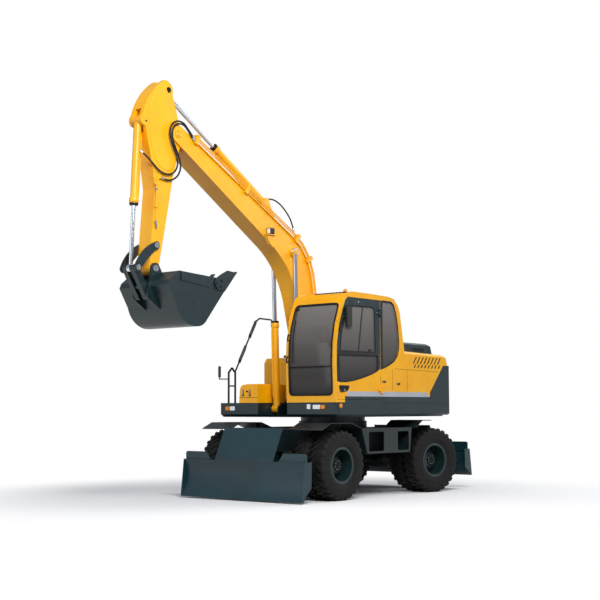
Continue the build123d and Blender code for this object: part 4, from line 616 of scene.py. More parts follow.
# %% The tyre's section and the lug's stations
TYRE_R, TWIN_OFF, LUGS = 0.527, 0.160, 27
TYRE_HALF = [
    (0.000, 0.5095), (0.060, 0.509), (0.104, 0.505), (0.122, 0.494), (0.130, 0.476),
    (0.1345, 0.464), (0.1365, 0.440), (0.1385, 0.412), (0.1385, 0.398), (0.1365, 0.396),
    (0.1365, 0.390), (0.1385, 0.388), (0.1375, 0.360), (0.130, 0.330), (0.1245, 0.322),
    (0.1245, 0.312), (0.116, 0.300), (0.104, 0.288), (0.100, 0.276), (0.098, 0.266), (0.060, 0.262),
]
TYRE_PROFILE = TYRE_HALF + [(-along, radius) for along, radius in TYRE_HALF[:0:-1]]
LUG_RUN = np.array([
    # from the middle outwards: across, top radius, foot radius, lag in m, half width in m
    (0.006, 0.5265, 0.503, 0.000, 0.020),
    (0.046, 0.5270, 0.503, 0.012, 0.023),
    (0.076, 0.5268, 0.502, 0.040, 0.027),
    (0.108, 0.5250, 0.498, 0.052, 0.030),
    (0.1245, 0.5170, 0.490, 0.056, 0.032),
    (0.1325, 0.4860, 0.468, 0.058, 0.030),
    (0.1365, 0.4560, 0.448, 0.058, 0.026),
])
# The lug's own section: share of the half width, share of its height
LUG_SECTION = np.array([(-1.0, 0.0), (-0.8, 1.0), (0.8, 1.0), (1.0, 0.0)])


# %% Tyres
def wheel_axis(node_name):
    """The axle's direction: that of the wheel's own spin joint, turned to point outwards."""
    joint = next(j for j in frame["joints"] if j["name"] == "wheel" + node_name[4:] + "_spin")
    axis = unit(np.array(joint["axis"], float))
    return axis * (1 if "left" in node_name else -1)


def middle(node_name):
    """Middle of a node's box."""
    low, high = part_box(node_name)
    return (np.array(low, float) + np.array(high, float)) / 2


def lugs(centre, axis):
    """Corners of all lugs of one tyre: centre + axis * across + radius * (cos angle, sin angle)."""
    u = unit(np.cross(axis, UP))
    v = np.cross(axis, u)
    across, crown, foot, lag, half = LUG_RUN.T
    radius = foot[:, None] + (crown - foot)[:, None] * LUG_SECTION[:, 1]
    swing = (lag[:, None] + half[:, None] * LUG_SECTION[:, 0]) / TYRE_R
    angle = swing + (np.arange(LUGS) * math.tau / LUGS)[:, None, None]
    halves = []
    for flip, stagger in ((1, 0.0), (-1, math.pi / LUGS)):
        turn = angle + stagger
        ring = u * np.cos(turn)[..., None] + v * np.sin(turn)[..., None]
        halves.append(centre + axis * flip * across[:, None, None] + ring * radius[..., None])
    return np.stack(halves)


wheel_nodes = [name for name in nodes if name.startswith("tyre_")]
lug_faces = skin(2 * LUGS, len(LUG_RUN), len(LUG_SECTION))
for name in wheel_nodes:
    body, axis, hub = name.replace("tyre", "wheel"), wheel_axis(name), middle(name)
    for word, off in (("outer", TWIN_OFF), ("inner", -TWIN_OFF)):
        centre = hub + axis * off
        carcass = turned(
            f"{name}_{word}", TYRE_PROFILE, centre, axis, tyre_rubber, body, 96, closed=True, crease=50
        )
        tread = piece(
            f"{name}_lugs_{word}", lugs(centre, axis), lug_faces, tyre_rubber, body, crease=25
        )
        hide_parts(name)
        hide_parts(name)
print("tyres", 2 * len(wheel_nodes), "lugs each", 2 * LUGS)

# %% [markdown]
# ## Wheel nuts and hubs
# A pressed-steel wheel is held by ten nuts on a planetary hub. The nuts and the hub's cover screws
# are small, but they are what the eye looks for in the dish.

# %% Nuts, hub covers, their screws and lock rings
def ring_of(centre, axis, radius, count, turn=0.0):
    """Points on a circle about the axis: centre + radius * (u cos t + v sin t)."""
    u = unit(np.cross(axis, UP))
    v = np.cross(axis, u)
    t = turn + np.arange(count)[:, None] * math.tau / count
    return centre + radius * (u * np.cos(t) + v * np.sin(t))


# Distances along the axle from the wheel's middle, and radii of the circles
NUT_AT, NUT_CIRCLE, NUTS, NUT_R = 0.022, 0.190, 10, 0.015
HUB_AT, SCREW_AT, SCREW_CIRCLE, SCREWS, SCREW_R = 0.165, 0.184, 0.066, 8, 0.007
LOCK_AT = 0.2575
HUB_DOME = (
    (0.0, 0.082), (0.010, 0.088), (0.018, 0.086), (0.024, 0.076), (0.026, 0.040), (0.034, 0.036),
    (0.036, 0.026),
)
LOCK_RING = (
    (0.0, 0.252), (0.004, 0.2585), (0.010, 0.2585), (0.014, 0.252), (0.010, 0.246), (0.004, 0.246),
)
for name in wheel_nodes:
    body, axis, hub = name.replace("tyre", "wheel"), wheel_axis(name), middle(name)
    nut_ring = ring_of(hub + axis * NUT_AT, axis, NUT_CIRCLE, NUTS)
    screw_ring = ring_of(hub + axis * SCREW_AT, axis, SCREW_CIRCLE, SCREWS, 0.3)
    bolts(name.replace("tyre", "wheel_nuts"), nut_ring, axis, NUT_R, body)
    hub_at, lock_at = hub + axis * HUB_AT, hub + axis * LOCK_AT
    turned(name.replace("tyre", "hub_cover"), HUB_DOME, hub_at, axis, cast_iron, body, 40)
    bolts(name.replace("tyre", "hub_screws"), screw_ring, axis, SCREW_R, body)
    lock = name.replace("tyre", "lock_ring")
    turned(lock, LOCK_RING, lock_at, axis, rim_enamel, body, 96, closed=True)
print("hubs dressed")


# %% [markdown]
# ## Cab
# The cab is a pressed shell with glued glass. What makes it read as a cab is thin: the black seal
# around each pane, the bar between the door's two panes, the divider of its sliding window, the
# rain gutter, the door's handle. Each is a section carried along the edge of the opening.

# %% Lines laid on the cab's curved front
CAB_OUT, CAB_MID = 1.235, 0.7485  # the cab's left side and its middle
FRONT_LINE = np.array([
    # height, x from the slewing axis
    (1.475, 1.470), (2.050, 1.492), (2.380, 1.480), (2.650, 1.428), (2.910, 1.335), (3.070, 1.262),
])


def on_front(rows, proud=0.0):
    """Rows of (y, z) laid on the cab's curved front: x is interpolated along its side view."""
    rows = np.array(rows, float)
    x = np.interp(rows[:, 1], FRONT_LINE[:, 0], FRONT_LINE[:, 1]) + proud
    return np.stack([x + SWING_X, rows[:, 0], rows[:, 1]], -1)


DENSE_STEP = 0.05


def dense(rows):
    """Closed outline with extra points, no further apart than the step, to follow a curve."""
    rows = np.array(rows, float)
    after = np.roll(rows, -1, 0)
    counts = np.maximum(np.ceil(np.linalg.norm(after - rows, axis=1) / DENSE_STEP).astype(int), 1)
    index = np.repeat(np.arange(len(rows)), counts)
    share = (np.arange(counts.sum()) - np.repeat(np.cumsum(counts) - counts, counts)) / counts[index]
    return rows[index] + (after - rows)[index] * share[:, None]


# %% [markdown]
# ## Windscreen
# The windscreen is a large pane that slides up under the roof and a small one below it, so it has
# a rubber seal around it, a bar where the panes meet, and two latches at its edge. The glass is
# bowed in side view. Each strip is drawn flat, as rows of a width and a height, and the curve is
# read from a table, so a strip always lies on the glass.

# %% Windscreen: seal, split bar, wiper and latches
SCREEN_LOW, SCREEN_HIGH, SCREEN_HALF, SCREEN_SPLIT = 1.590, 2.980, 0.4215, 2.018
right = CAB_MID - SCREEN_HALF
SCREEN = rectangle(right, CAB_MID + SCREEN_HALF, SCREEN_LOW, SCREEN_HIGH, 0.07)
swept(
    "windscreen_seal", on_front(dense(SCREEN), 0.001), bar(0.030, 0.012), seal_rubber, "house",
    up=FORE, closed=True,
)
SCREEN_STRIPS = (
    # name, how proud, section, coat, rows of (y from the screen's right edge, z)
    ("windscreen_split", -0.004, (0.016, 0.014), seal_rubber,
     ((0.008, SCREEN_SPLIT), (SCREEN_HALF, SCREEN_SPLIT), (2 * SCREEN_HALF - 0.008, SCREEN_SPLIT))),
    ("wiper_arm", 0.016, (0.012, 0.008), black_plastic,
     ((0.055, 2.90), (0.060, 2.70), (0.070, 2.40), (0.082, 2.12))),
    ("wiper_blade", 0.008, (0.010, 0.012), seal_rubber,
     ((0.062, 2.76), (0.074, 2.45), (0.086, 2.08))),
)
for name, proud, size, coat, rows in SCREEN_STRIPS:
    swept(name, on_front(np.array(rows) + (right, 0.0), proud), bar(*size), coat, "house", up=FORE)
WIPER_MOTOR = ((0.0, 0.026), (0.012, 0.026), (0.018, 0.020), (0.020, 0.008))
motor_at = on_front([(right + 0.055, 2.925)], 0.002)
turned("wiper_motor", WIPER_MOTOR, motor_at, (1, 0, 0.5), black_plastic, "house")
SCREEN_LATCH_Z, LATCH_RISE = (2.140, 2.480), 0.022
for index, height in enumerate(SCREEN_LATCH_Z):
    offsets = (-0.045, -0.030, 0.030, 0.045)
    foot = on_front([(right - 0.030, height + off) for off in offsets], 0.003)
    foot[1:3, 0] += LATCH_RISE
    swept(f"screen_latch_{index}", foot, bar(0.026, 0.014), black_plastic, "house", up=LEFT)
print("windscreen dressed")

# %% [markdown]
# ## The cab's door
# The door is one pressed frame with a sliding window above and a fixed pane below. Its seals are
# closed outlines with rounded corners: a swept strip keeps one width all round, which a scaled
# copy of the pane would not. All of it rides on the door, so it swings with the hinge.

# %% Door: seals, bar and sliding window
DOOR_SEALS = {
    "door_upper_seal": (
        (0.464, 2.254), (1.363, 2.254), (1.331, 2.523), (1.195, 2.900), (1.150, 2.960),
        (0.540, 2.968), (0.490, 2.925),
    ),
    "door_lower_seal": (
        (0.412, 1.972), (0.600, 1.908), (0.804, 1.856), (1.022, 1.812), (1.236, 1.787),
        (1.382, 1.787), (1.395, 2.200), (0.412, 2.208),
    ),
}
for name, corners in DOOR_SEALS.items():
    edge = rounded(corners, 0.022)
    side_strip(name, edge, CAB_OUT + 0.001, (0.018, 0.008), seal_rubber, "cab_door", closed=True)
MIDDLE_BAR = rounded([(0.404, 2.206), (1.396, 2.198), (1.372, 2.250), (0.456, 2.256)], 0.008)
CATCH = rectangle(0.560, 0.640, 2.262, 2.300, 0.010)
SLIDER = ((0.779, 2.962), (0.838, 2.600), (0.891, 2.262))
side_plate("door_middle_bar", MIDDLE_BAR, CAB_OUT - 0.004, 0.008, black_plastic, "cab_door", 0.002)
side_strip("door_slider", SLIDER, CAB_OUT - 0.010, (0.022, 0.010), black_plastic, "cab_door")
side_plate("slider_catch", CATCH, CAB_OUT - 0.012, 0.014, black_plastic, "cab_door", 0.002)
print("door seals", len(DOOR_SEALS))

# %% [markdown]
# ## The door's handle
# The handle sits in a shallow pressed pocket, so it catches on nothing. The pocket is drawn as a
# dark plate in a rim, and the bar of the handle lies across it. The lock and the screws are small
# lathe work beside it.

# %% Door: handle in its pocket, lock and screws
POCKET = rounded([(1.394, 1.728), (1.140, 1.725), (1.183, 1.653), (1.363, 1.625)], 0.030, 7)
HANDLE = ((1.178, 1.700), (1.210, 1.702), (1.320, 1.700), (1.352, 1.694))
side_strip(
    "handle_pocket_rim", POCKET, CAB_OUT + 0.002, (0.012, 0.010), black_plastic, "cab_door", closed=True
)
side_plate("handle_pocket", POCKET, CAB_OUT - 0.001, 0.003, black_plastic, "cab_door")
side_strip("door_handle", HANDLE, CAB_OUT + 0.010, (0.024, 0.012), cast_iron, "cab_door")
LOCK = ((-0.004, 0.014), (0.004, 0.014), (0.006, 0.010), (0.007, 0.002))
TOP_SCREW = ((-0.002, 0.014), (0.003, 0.013), (0.006, 0.006))
turned("door_lock", LOCK, at(1.262, CAB_OUT + 0.004, 1.662), LEFT, pin_steel, "cab_door")
turned("door_top_screw", TOP_SCREW, at(0.905, CAB_OUT + 0.001, 3.020), LEFT, pin_steel, "cab_door")
HINGE_Z, HINGE_BOLT_X = (1.680, 2.880), (0.390, 0.425)
hinge_bolts = [at(x, CAB_OUT + 0.003, z) for z in HINGE_Z for x in HINGE_BOLT_X]
bolts("door_hinge_bolts", hinge_bolts, LEFT, 0.008, "cab_door")
print("door dressed")

# %% [markdown]
# ## The cab's other windows
# Each pane is glued into its opening with a bead of black rubber that shows as a thin frame. The
# rear pane leans, so its bead takes its x from the slope of the shell; the side panes are flat.

# %% Quarter glass, post, rear and right windows
QUARTER = (
    (0.290, 2.008), (0.126, 2.060), (-0.026, 2.130), (-0.115, 2.220), (-0.150, 2.320),
    (-0.162, 2.430), (-0.135, 2.677), (-0.090, 2.883), (-0.030, 3.030), (0.049, 3.075),
    (0.290, 3.078),
)
quarter = rounded(QUARTER, 0.018)
side_strip(
    "quarter_seal", quarter, CAB_OUT + 0.001, (0.020, 0.008), seal_rubber, "house", closed=True
)
POST = ((0.286, 1.998), (0.338, 1.985), (0.338, 3.080), (0.286, 3.080))
side_plate("door_post_cover", POST, CAB_OUT - 0.001, 0.003, green_enamel, "house")
REAR_HALF, REAR_LOW, REAR_HIGH = 0.377, 2.49, 2.89
REAR_LINE = np.array([(2.296, -0.315), (2.917, -0.198), (3.020, -0.150)])  # height, x
rear = rectangle(CAB_MID - REAR_HALF, CAB_MID + REAR_HALF, REAR_LOW, REAR_HIGH, 0.06)
rear_x = np.interp(rear[:, 1], REAR_LINE[:, 0], REAR_LINE[:, 1]) - 0.001 + SWING_X
rear_edge = np.stack([rear_x, rear[:, 0], rear[:, 1]], -1)
swept(
    "rear_window_seal", rear_edge, bar(0.024, 0.010), seal_rubber, "house",
    up=(-1, 0, 0.18), closed=True,
)
RIGHT_WINDOW, RIGHT_OUT = rectangle(-0.060, 1.020, 2.030, 2.930, 0.06), 0.2615
swept(
    "right_window_seal", flank(RIGHT_WINDOW, RIGHT_OUT), bar(0.022, 0.010), seal_rubber, "house",
    up=(0, -1, 0), closed=True,
)
print("windows sealed")

# %% [markdown]
# ## Roof
# Rain gutters are folded edges along both sides of the roof. The hatch is a moulded lid on a
# rubber seal, and the round lamps are globes on a base, which is lathe work.

# %% Roof: gutters, hatch and beacons
GUTTER = (
    (1.425, 2.700), (1.345, 2.925), (1.262, 3.088), (1.175, 3.150), (1.060, 3.168), (0.577, 3.163),
    (0.119, 3.149), (-0.045, 3.119),
)
for word, y in (("left", CAB_OUT - 0.006), ("right", 0.268)):
    side_strip("roof_gutter_" + word, GUTTER, y, (0.016, 0.012), yellow_enamel, "house")
HATCH_HALF, HATCH_Z = 0.300, 3.158
hatch = level(rectangle(0.600, 1.040, CAB_MID - HATCH_HALF, CAB_MID + HATCH_HALF, 0.05), HATCH_Z)
hatch_seal = hatch + (0, 0, 0.006)
plate("roof_hatch", hatch, (0, 0, 0.026), black_plastic, "house", 0.006)
swept("roof_hatch_seal", hatch_seal, bar(0.024, 0.012), seal_rubber, "house", closed=True)
BASE = ((0.0, 0.040), (0.010, 0.040), (0.014, 0.034))
GLOBE = ((0.012, 0.032), (0.030, 0.033), (0.045, 0.028), (0.054, 0.016), (0.056, 0.004))
BEACON_AT, REAR_LAMP_AT = at(1.120, 1.150, 3.156), at(0.000, 1.120, 3.115)
turned("beacon_base", BASE, BEACON_AT, UP, black_plastic, "house")
turned("beacon", GLOBE, BEACON_AT, UP, amber_lens, "house")
turned("rear_roof_lamp", GLOBE, REAR_LAMP_AT, UP, amber_lens, "house")
print("cab dressed")


# %% [markdown]
# ## Inside the cab
# Through tinted glass only large shapes read. The seat, the column and the wheel are solids of the
# CAD model; the joysticks' rubber gaiters and their knobs are added as lathe work.

# %% Joystick gaiters and knobs
STICK_X, STICK_OFF, STICK_Z = 0.670, 0.297, 2.190
GAITER = (
    (0.000, 0.055), (0.012, 0.052), (0.020, 0.044), (0.030, 0.048), (0.040, 0.038), (0.052, 0.042),
    (0.066, 0.030), (0.080, 0.032), (0.095, 0.020),
)
KNOB = ((0.150, 0.017), (0.158, 0.024), (0.185, 0.027), (0.206, 0.024), (0.216, 0.014))
sticks = [at(STICK_X, CAB_MID + side * STICK_OFF, STICK_Z) for side in (-1, 1)]
turned("joystick_gaiters", GAITER, sticks, UP, seal_rubber, "house", 24)
turned("joystick_knobs", KNOB, sticks, UP, black_plastic, "house", 24)
print("cab furnished")


# %% [markdown]
# ## House side: stripe, seams and latches
# The side of the house is one run of pressed panels. A silver stripe of sprayed paint runs along
# the door and the hood above the dark sill. Gaps between panels are 5 mm wide and dark, so each is
# drawn as a thin strip of rubber black, a little proud where the real one is sunk.

# %% Stripe, seams and latches
SIDE_Y = 1.2352
STRIPE_LOW, STRIPE_HIGH = 1.565, 1.642
STRIPES = (
    # name, body, x where it starts, x of its end below and above
    ("stripe_door", "cab_door", 1.194, 0.340, 0.340),
    ("stripe_house", "house", 0.330, -1.008, -0.928),
)
for name, body, start, end_low, end_high in STRIPES:
    corners = [(start, STRIPE_LOW), (start, STRIPE_HIGH), (end_high, STRIPE_HIGH), (end_low, STRIPE_LOW)]
    side_plate(name, corners, SIDE_Y, 0.0012, silver_enamel, body, 0.0003)
SEAMS = {
    "seam_hood_lid": ((-0.038, 2.010), (-0.600, 2.001), (-1.277, 1.985)),
    "seam_hood_front": ((-0.382, 1.575), (-0.382, 1.800), (-0.382, 2.003)),
    "seam_cab_rear": ((0.334, 1.650), (0.334, 1.780), (0.334, 1.893)),
    "seam_sill": ((0.325, 1.474), (-0.500, 1.466), (-1.540, 1.459)),
    "seam_tank_door": ((0.020, 1.655), (0.020, 1.800), (0.020, 2.000)),
}
for name, corners in SEAMS.items():
    side_strip(name, corners, SIDE_Y, (0.005, 0.002), seal_rubber, "house")
LATCHES = ((-0.144, 1.771), (0.245, 1.800))
LATCH_PLATE = rectangle(-0.045, 0.045, -0.017, 0.017, 0.012)
LATCH_LOCK = ((0.0, 0.010), (0.006, 0.010), (0.008, 0.007))
for index, (x, z) in enumerate(LATCHES):
    side_plate(f"panel_latch_{index}", LATCH_PLATE + (x, z), SIDE_Y, 0.004, black_plastic, "house")
    turned(f"latch_lock_{index}", LATCH_LOCK, at(x + 0.02, SIDE_Y, z), LEFT, pin_steel, "house", 16)
print("side panels dressed")

# %% [markdown]
# ## Louvres
# Air for the cooler goes in through slots pressed into the hood. The slots are cut in the solid;
# behind them sits a dark sheet of painted shade, which is what makes them read as holes. All
# sixteen panels of it are one mesh, made from one leaning quadrilateral moved along by the slots' step.

# %% Louvres in the hood's side
SLOTS, SLOT_STEP, SLOT_SUNK, SLOT_LEAN = 8, 0.100, 0.0045, 0.75
SLOT_ROWS = ((-0.568, 2.106, 2.221), (-0.589, 2.037, 2.095))  # x of the first slot, low, high
SLOT_HALF, SHADE_THICK = 0.0175, 0.003
slot_faces = []
for start, low, high in SLOT_ROWS:
    lean = SLOT_LEAN * (high - low)
    corner = np.array([
        (-SLOT_HALF, low), (SLOT_HALF, low), (SLOT_HALF - lean, high), (-SLOT_HALF - lean, high),
    ])
    starts = np.stack([start - np.arange(SLOTS) * SLOT_STEP, np.zeros(SLOTS)], -1)
    slot_faces.append(corner + starts[:, None])
slots = np.concatenate(slot_faces)
inner = flank(slots.reshape(-1, 2), CAB_OUT - SLOT_SUNK).reshape(-1, 4, 3)
both_skins = np.stack([inner, inner + (0, SHADE_THICK, 0)], 1)
# dark sheets at the back of the slots: painted shade inside the louvres
piece("louvre_painted_shade", both_skins, skin(len(slots), 2, 4), cast_iron, "house")
print("louvres", len(slots))

# %% [markdown]
# ## The hood's cover
# The cover over the engine lifts on its hinge by two bent-rod grips. It breathes through a side
# vent and through a grille of cross slats on top. Every slat is a short bar swept along a line.

# %% Vents, grips and slats of the hood's cover
VENT, VENT_Y, VENT_SLATS = rectangle(-0.830, -1.150, 2.330, 2.387, 0.008), 1.0405, 5
side_plate("cover_vent", VENT, VENT_Y, 0.004, black_plastic, "hood_cover")
for index, z in enumerate(np.linspace(2.338, 2.379, VENT_SLATS)):
    run = ((-1.145, z), (-0.990, z), (-0.835, z))
    side_strip(f"vent_slat_{index}", run, VENT_Y + 0.006, (0.005, 0.004), cast_iron, "hood_cover")
GRIP = ((-0.470, 2.405), (-0.430, 2.425), (-0.424, 2.380), (-0.440, 2.352))
for word, y in (("left", 0.62), ("right", -0.58)):
    swept("cover_grip_" + word, flank(GRIP, y), round_bar(0.008), black_plastic, "hood_cover", up=LEFT)
TOP_SLATS, TOP_HALF, TOP_Z = 12, 0.52, 2.4665
for index, x in enumerate(np.linspace(-0.56, -1.20, TOP_SLATS)):
    run = level([(x, -TOP_HALF), (x, 0.0), (x, TOP_HALF)], TOP_Z)
    swept(f"top_slat_{index}", run, bar(0.022, 0.006), black_plastic, "hood_cover")
print("vents dressed")

# %% [markdown]
# ## Deck lamps
# Lamps are a black bezel with a moulded lens. The lens stands a few millimetres proud and takes
# the studio lights as small highlights, which is what makes it read as glass.

# %% Lamps along the deck's front edge
DECK_FACE = 1.450
BEZEL_GROWTH = (1.10, 1.16)  # the bezel over its lens, in y and in z
LAMPS = (
    # name, y from, y to, z from, z to, lens
    ("left_white_bar", 0.655, 0.725, 1.372, 1.448, white_lens),
    ("left_headlamp", 0.772, 0.915, 1.372, 1.438, white_lens),
    ("left_indicator", 0.925, 1.010, 1.374, 1.436, amber_lens),
    ("right_headlamp", -0.965, -0.855, 1.352, 1.420, white_lens),
    ("right_indicator", -1.060, -0.985, 1.354, 1.418, amber_lens),
)
for name, y_from, y_to, z_from, z_to, lens in LAMPS:
    corners = rectangle(y_from, y_to, z_from, z_to, 0.012)
    centre = corners.mean(0)
    rim = facing(centre + (corners - centre) * BEZEL_GROWTH, DECK_FACE - 0.012)
    plate(name + "_bezel", rim, (0.016, 0, 0), black_plastic, "house", 0.003)
    plate(name, facing(corners, DECK_FACE + 0.004), (0.008, 0, 0), lens, "house", 0.004)
print("lamps", len(LAMPS))

# %% [markdown]
# ## Round markers
# The markers are amber reflectors screwed to the panels. On the tail they stand on the curve of
# the counterweight, so their place and their direction are worked out from one angle.

# %% Round markers on the side and the tail
MARKER = ((-0.002, 0.034), (0.006, 0.034), (0.012, 0.029), (0.016, 0.016), (0.017, 0.004))
TAIL_R, TAIL_TURN, TAIL_Z = 2.030, 0.42, 1.500
turned("side_marker", MARKER, at(1.355, CAB_OUT, 1.420), LEFT, amber_lens, "house", 28)
tail_ways = np.array([(-math.cos(turn), math.sin(turn), 0.0) for turn in (TAIL_TURN, -TAIL_TURN)])
tail_at = at(0.0, 0.0, TAIL_Z) + tail_ways * TAIL_R
turned("tail_markers", MARKER, tail_at, tail_ways, amber_lens, "house", 28)
print("markers", 1 + len(tail_ways))

# %% [markdown]
# ## Tool box and tank
# The box beside the boom closes with two toggle latches: a black plate with a bent wire over it.
# The lids of the box and the tank are pressed separately, so a thin dark seam shows where they meet
# what they close.

# %% Tool box latches and seam, tank cap and lid
BOX_FACE = 1.445
HOOK = ((0.018, 1.600), (0.026, 1.622), (0.026, 1.660), (0.018, 1.680))  # off the box, height
for index, y in enumerate((-0.670, -0.523)):
    latch = facing(rectangle(y - 0.016, y + 0.016, 1.585, 1.690, 0.012), BOX_FACE + 0.0145)
    plate(f"box_latch_{index}", latch, (0.007, 0, 0), black_plastic, "house", 0.002)
    hook = flank([(BOX_FACE + off, z) for off, z in HOOK], y)
    swept(f"box_hook_{index}", hook, round_bar(0.006), pin_steel, "house", up=LEFT)
LOCK_SLOT = facing(rectangle(-0.622, -0.575, 1.645, 1.668, 0.008), BOX_FACE)
plate("box_lock_slot", LOCK_SLOT, (0.004, 0, 0), black_plastic, "house", 0.001)
LID_LINE = facing([(-0.765, 1.560), (-0.570, 1.560), (-0.374, 1.560)], BOX_FACE + 0.001)
swept("box_lid_seam", LID_LINE, bar(0.005, 0.003), seal_rubber, "house", up=FORE)
CAP = ((0.0, 0.052), (0.006, 0.055), (0.028, 0.055), (0.034, 0.050), (0.038, 0.030))
turned("tank_cap", CAP, at(0.140, -0.880, 2.246), UP, black_plastic, "house", 24)
TANK_LID = level(rectangle(-0.240, 0.280, -1.080, -0.420, 0.05), 2.2335)
swept("tank_lid_seam", TANK_LID, bar(0.006, 0.003), seal_rubber, "house", closed=True)
print("deck dressed")

# %% [markdown]
# ## Mirrors
# The housing is a solid. The glass is a thin plate set on its face and turned a little inwards,
# to where the driver sits, with a rubber rim swept around the same outline.

# %% Mirrors: glass in a black housing
def mirror(name, centre, wide, high, way, body):
    """Thin silvered glass with a rubber rim: a rounded rectangle that looks along `way`."""
    across = unit(np.cross(UP, way))
    lift = np.cross(way, across)
    edge = rectangle(-wide / 2, wide / 2, -high / 2, high / 2, 0.02)
    outline = centre + across * edge[:, :1] + lift * edge[:, 1:]
    plate(name, outline, way * 0.003, mirror_glass, body, 0.0008)
    rim = outline + way * 0.001
    swept(name + "_rim", rim, bar(0.010, 0.008), seal_rubber, body, up=way, closed=True)


MIRROR_TURN, MIRROR_OUT = math.radians(8.0), 0.0152
inward = np.array([math.sin(MIRROR_TURN), -math.cos(MIRROR_TURN), 0.0])
mirror_at = at(1.185, 1.270, 2.790) + inward * MIRROR_OUT
mirror("cab_mirror_glass", mirror_at, 0.125, 0.270, inward, "cab_door")
print("mirrors glazed")


# %% [markdown]
# ## Pins, glands and bolts of the working gear
# Every joint of the boom shows the end of a pin, held by a round cover with a few screws and a
# grease nipple. Every cylinder shows a gland where its rod leaves the barrel. All of it is lathe
# work, set on the joint's own axis.

# %% Pin covers
COVER = (
    # along the pin, share of the cover's radius
    (-0.004, 1.00), (0.004, 1.00), (0.008, 0.94), (0.008, 0.62), (0.013, 0.56), (0.013, 0.16),
    (0.019, 0.14), (0.021, 0.05),
)
PIN_SCREWS, SCREW_SHARE, SCREW_SIZE, SCREW_FACE = 3, 0.78, 0.11, 0.008
PINS = (
    # name, x, z, half width across the pin, cover's radius, coat, body
    ("boom_foot", 0.575, 1.840, 0.2370, 0.052, yellow_enamel, "house"),
    ("boom_tip", 3.700, 5.350, 0.1660, 0.060, yellow_enamel, "boom"),
    ("boom_rod", 1.180, 3.858, 0.2635, 0.046, yellow_enamel, "boom_rods"),
    ("arm_cylinder_base", 1.685, 4.620, 0.0660, 0.046, yellow_enamel, "boom"),
    ("arm_cylinder_rod", 3.865, 5.970, 0.1270, 0.042, cast_iron, "arm"),
    ("bucket_cylinder_base", 4.344, 5.453, 0.0905, 0.044, yellow_enamel, "arm"),
    ("bucket", 4.129, 3.352, 0.1650, 0.050, pin_steel, "arm"),
    ("rocker", 4.115, 3.681, 0.1670, 0.042, pin_steel, "rocker"),
    ("link", 4.455, 3.340, 0.1670, 0.042, pin_steel, "rocker"),
    ("bucket_link", 4.222, 2.966, 0.1190, 0.042, pin_steel, "bucket_link"),
)
for name, x, z, half, radius, coat, body in PINS:
    profile = sized(COVER, radius)
    for word, side in (("left", 1), ("right", -1)):
        way = np.array([0.0, side, 0.0])
        end, face = at(x, BOOM_Y + side * half, z), at(x, BOOM_Y + side * (half + SCREW_FACE), z)
        turned(f"pin_cover_{name}_{word}", profile, end, way, coat, body)
        screws = ring_of(face, way, radius * SCREW_SHARE, PIN_SCREWS, 0.5)
        bolts(f"pin_screws_{name}_{word}", screws, way, radius * SCREW_SIZE, body)
print("pin covers", 2 * len(PINS))

# %% [markdown]
# ## Cylinders
# A hydraulic cylinder is a plain barrel until its fittings are on: a cast gland where the rod
# comes out, a wide ring behind it, and a steel pipe that carries oil along the barrel. They are
# placed by the line from the barrel's foot to the rod's eye, so they stay on the axis.

# %% Cylinder glands, head rings and pipes
BARREL_R = 0.056
GLAND = (
    # along the rod, share of the barrel's radius
    (-0.022, 1.10), (-0.020, 1.16), (-0.004, 1.16), (0.000, 1.08), (0.008, 1.04), (0.010, 0.70),
)
HEAD_RING = ((-0.034, 0.0095), (-0.030, 0.012), (0.030, 0.012), (0.034, 0.0095))  # along, height
CYLINDERS = (
    # barrel, base x and z, rod's eye x and z, y of each, barrel's length
    ("boom_barrels", (1.095, 1.380), (1.180, 3.858), (BOOM_Y + 0.230, BOOM_Y - 0.230), 1.400),
    ("arm_barrel", (1.685, 4.620), (3.865, 5.970), (BOOM_Y,), 1.330),
    ("bucket_barrel", (4.344, 5.453), (4.455, 3.340), (BOOM_Y,), 1.215),
)
gland, head_ring = sized(GLAND, BARREL_R), [(along, BARREL_R + rise) for along, rise in HEAD_RING]
for barrel, base, eye, lanes, long in CYLINDERS:
    way = unit(np.array([eye[0] - base[0], 0.0, eye[1] - base[1]]))
    over = unit(np.cross(LEFT, way))
    # the pipe's corners: distance back from the barrel's mouth, height over its skin
    pipe_run = (
        (0.100, 0.004), (0.110, 0.022), (0.180, 0.026), (long - 0.220, 0.026), (long - 0.150, 0.004),
    )
    for index, y in enumerate(lanes):
        tag = f"{barrel}_{index}"
        mouth = at(base[0], y, base[1]) + way * long
        turned("gland_" + tag, gland, mouth, way, cast_iron, barrel, 40)
        turned("head_ring_" + tag, head_ring, mouth - way * 0.065, way, yellow_enamel, barrel, 40)
        pipe = [mouth - way * back + over * (BARREL_R + rise) for back, rise in pipe_run]
        swept("cylinder_pipe_" + tag, pipe, round_bar(0.010), yellow_enamel, barrel, up=LEFT)
print("cylinders dressed")

# %% [markdown]
# ## Hydraulic hoses
# Hoses are wire-braided rubber, stiff, and long enough for the joint they cross: they leave their
# fitting straight, hang in one slack loop and come back. Each is a round section swept along a
# smooth NURBS line. A hose that crosses the arm's joint rides on neither part: its start fitting
# rides on the boom and its end fitting on the arm.

# %% A hose and its fittings
def spline_line(route):
    """Points along an open NURBS spline of order 3 whose control points are the route."""
    curve = bpy.data.curves.new("route", "CURVE")
    curve.dimensions, curve.resolution_u = "3D", 10
    spline = curve.splines.new("NURBS")
    spline.points.add(len(route) - 1)
    spline.points.foreach_set("co", np.insert(np.array(route, float), 3, 1.0, 1).ravel())
    spline.order_u, spline.use_endpoint_u = 3, True
    holder = bpy.data.objects.new("route", curve)
    mesh = bpy.data.meshes.new_from_object(holder)
    line = np.empty(len(mesh.vertices) * 3)
    mesh.vertices.foreach_get("co", line)
    bpy.data.objects.remove(holder)
    return line.reshape(-1, 3)


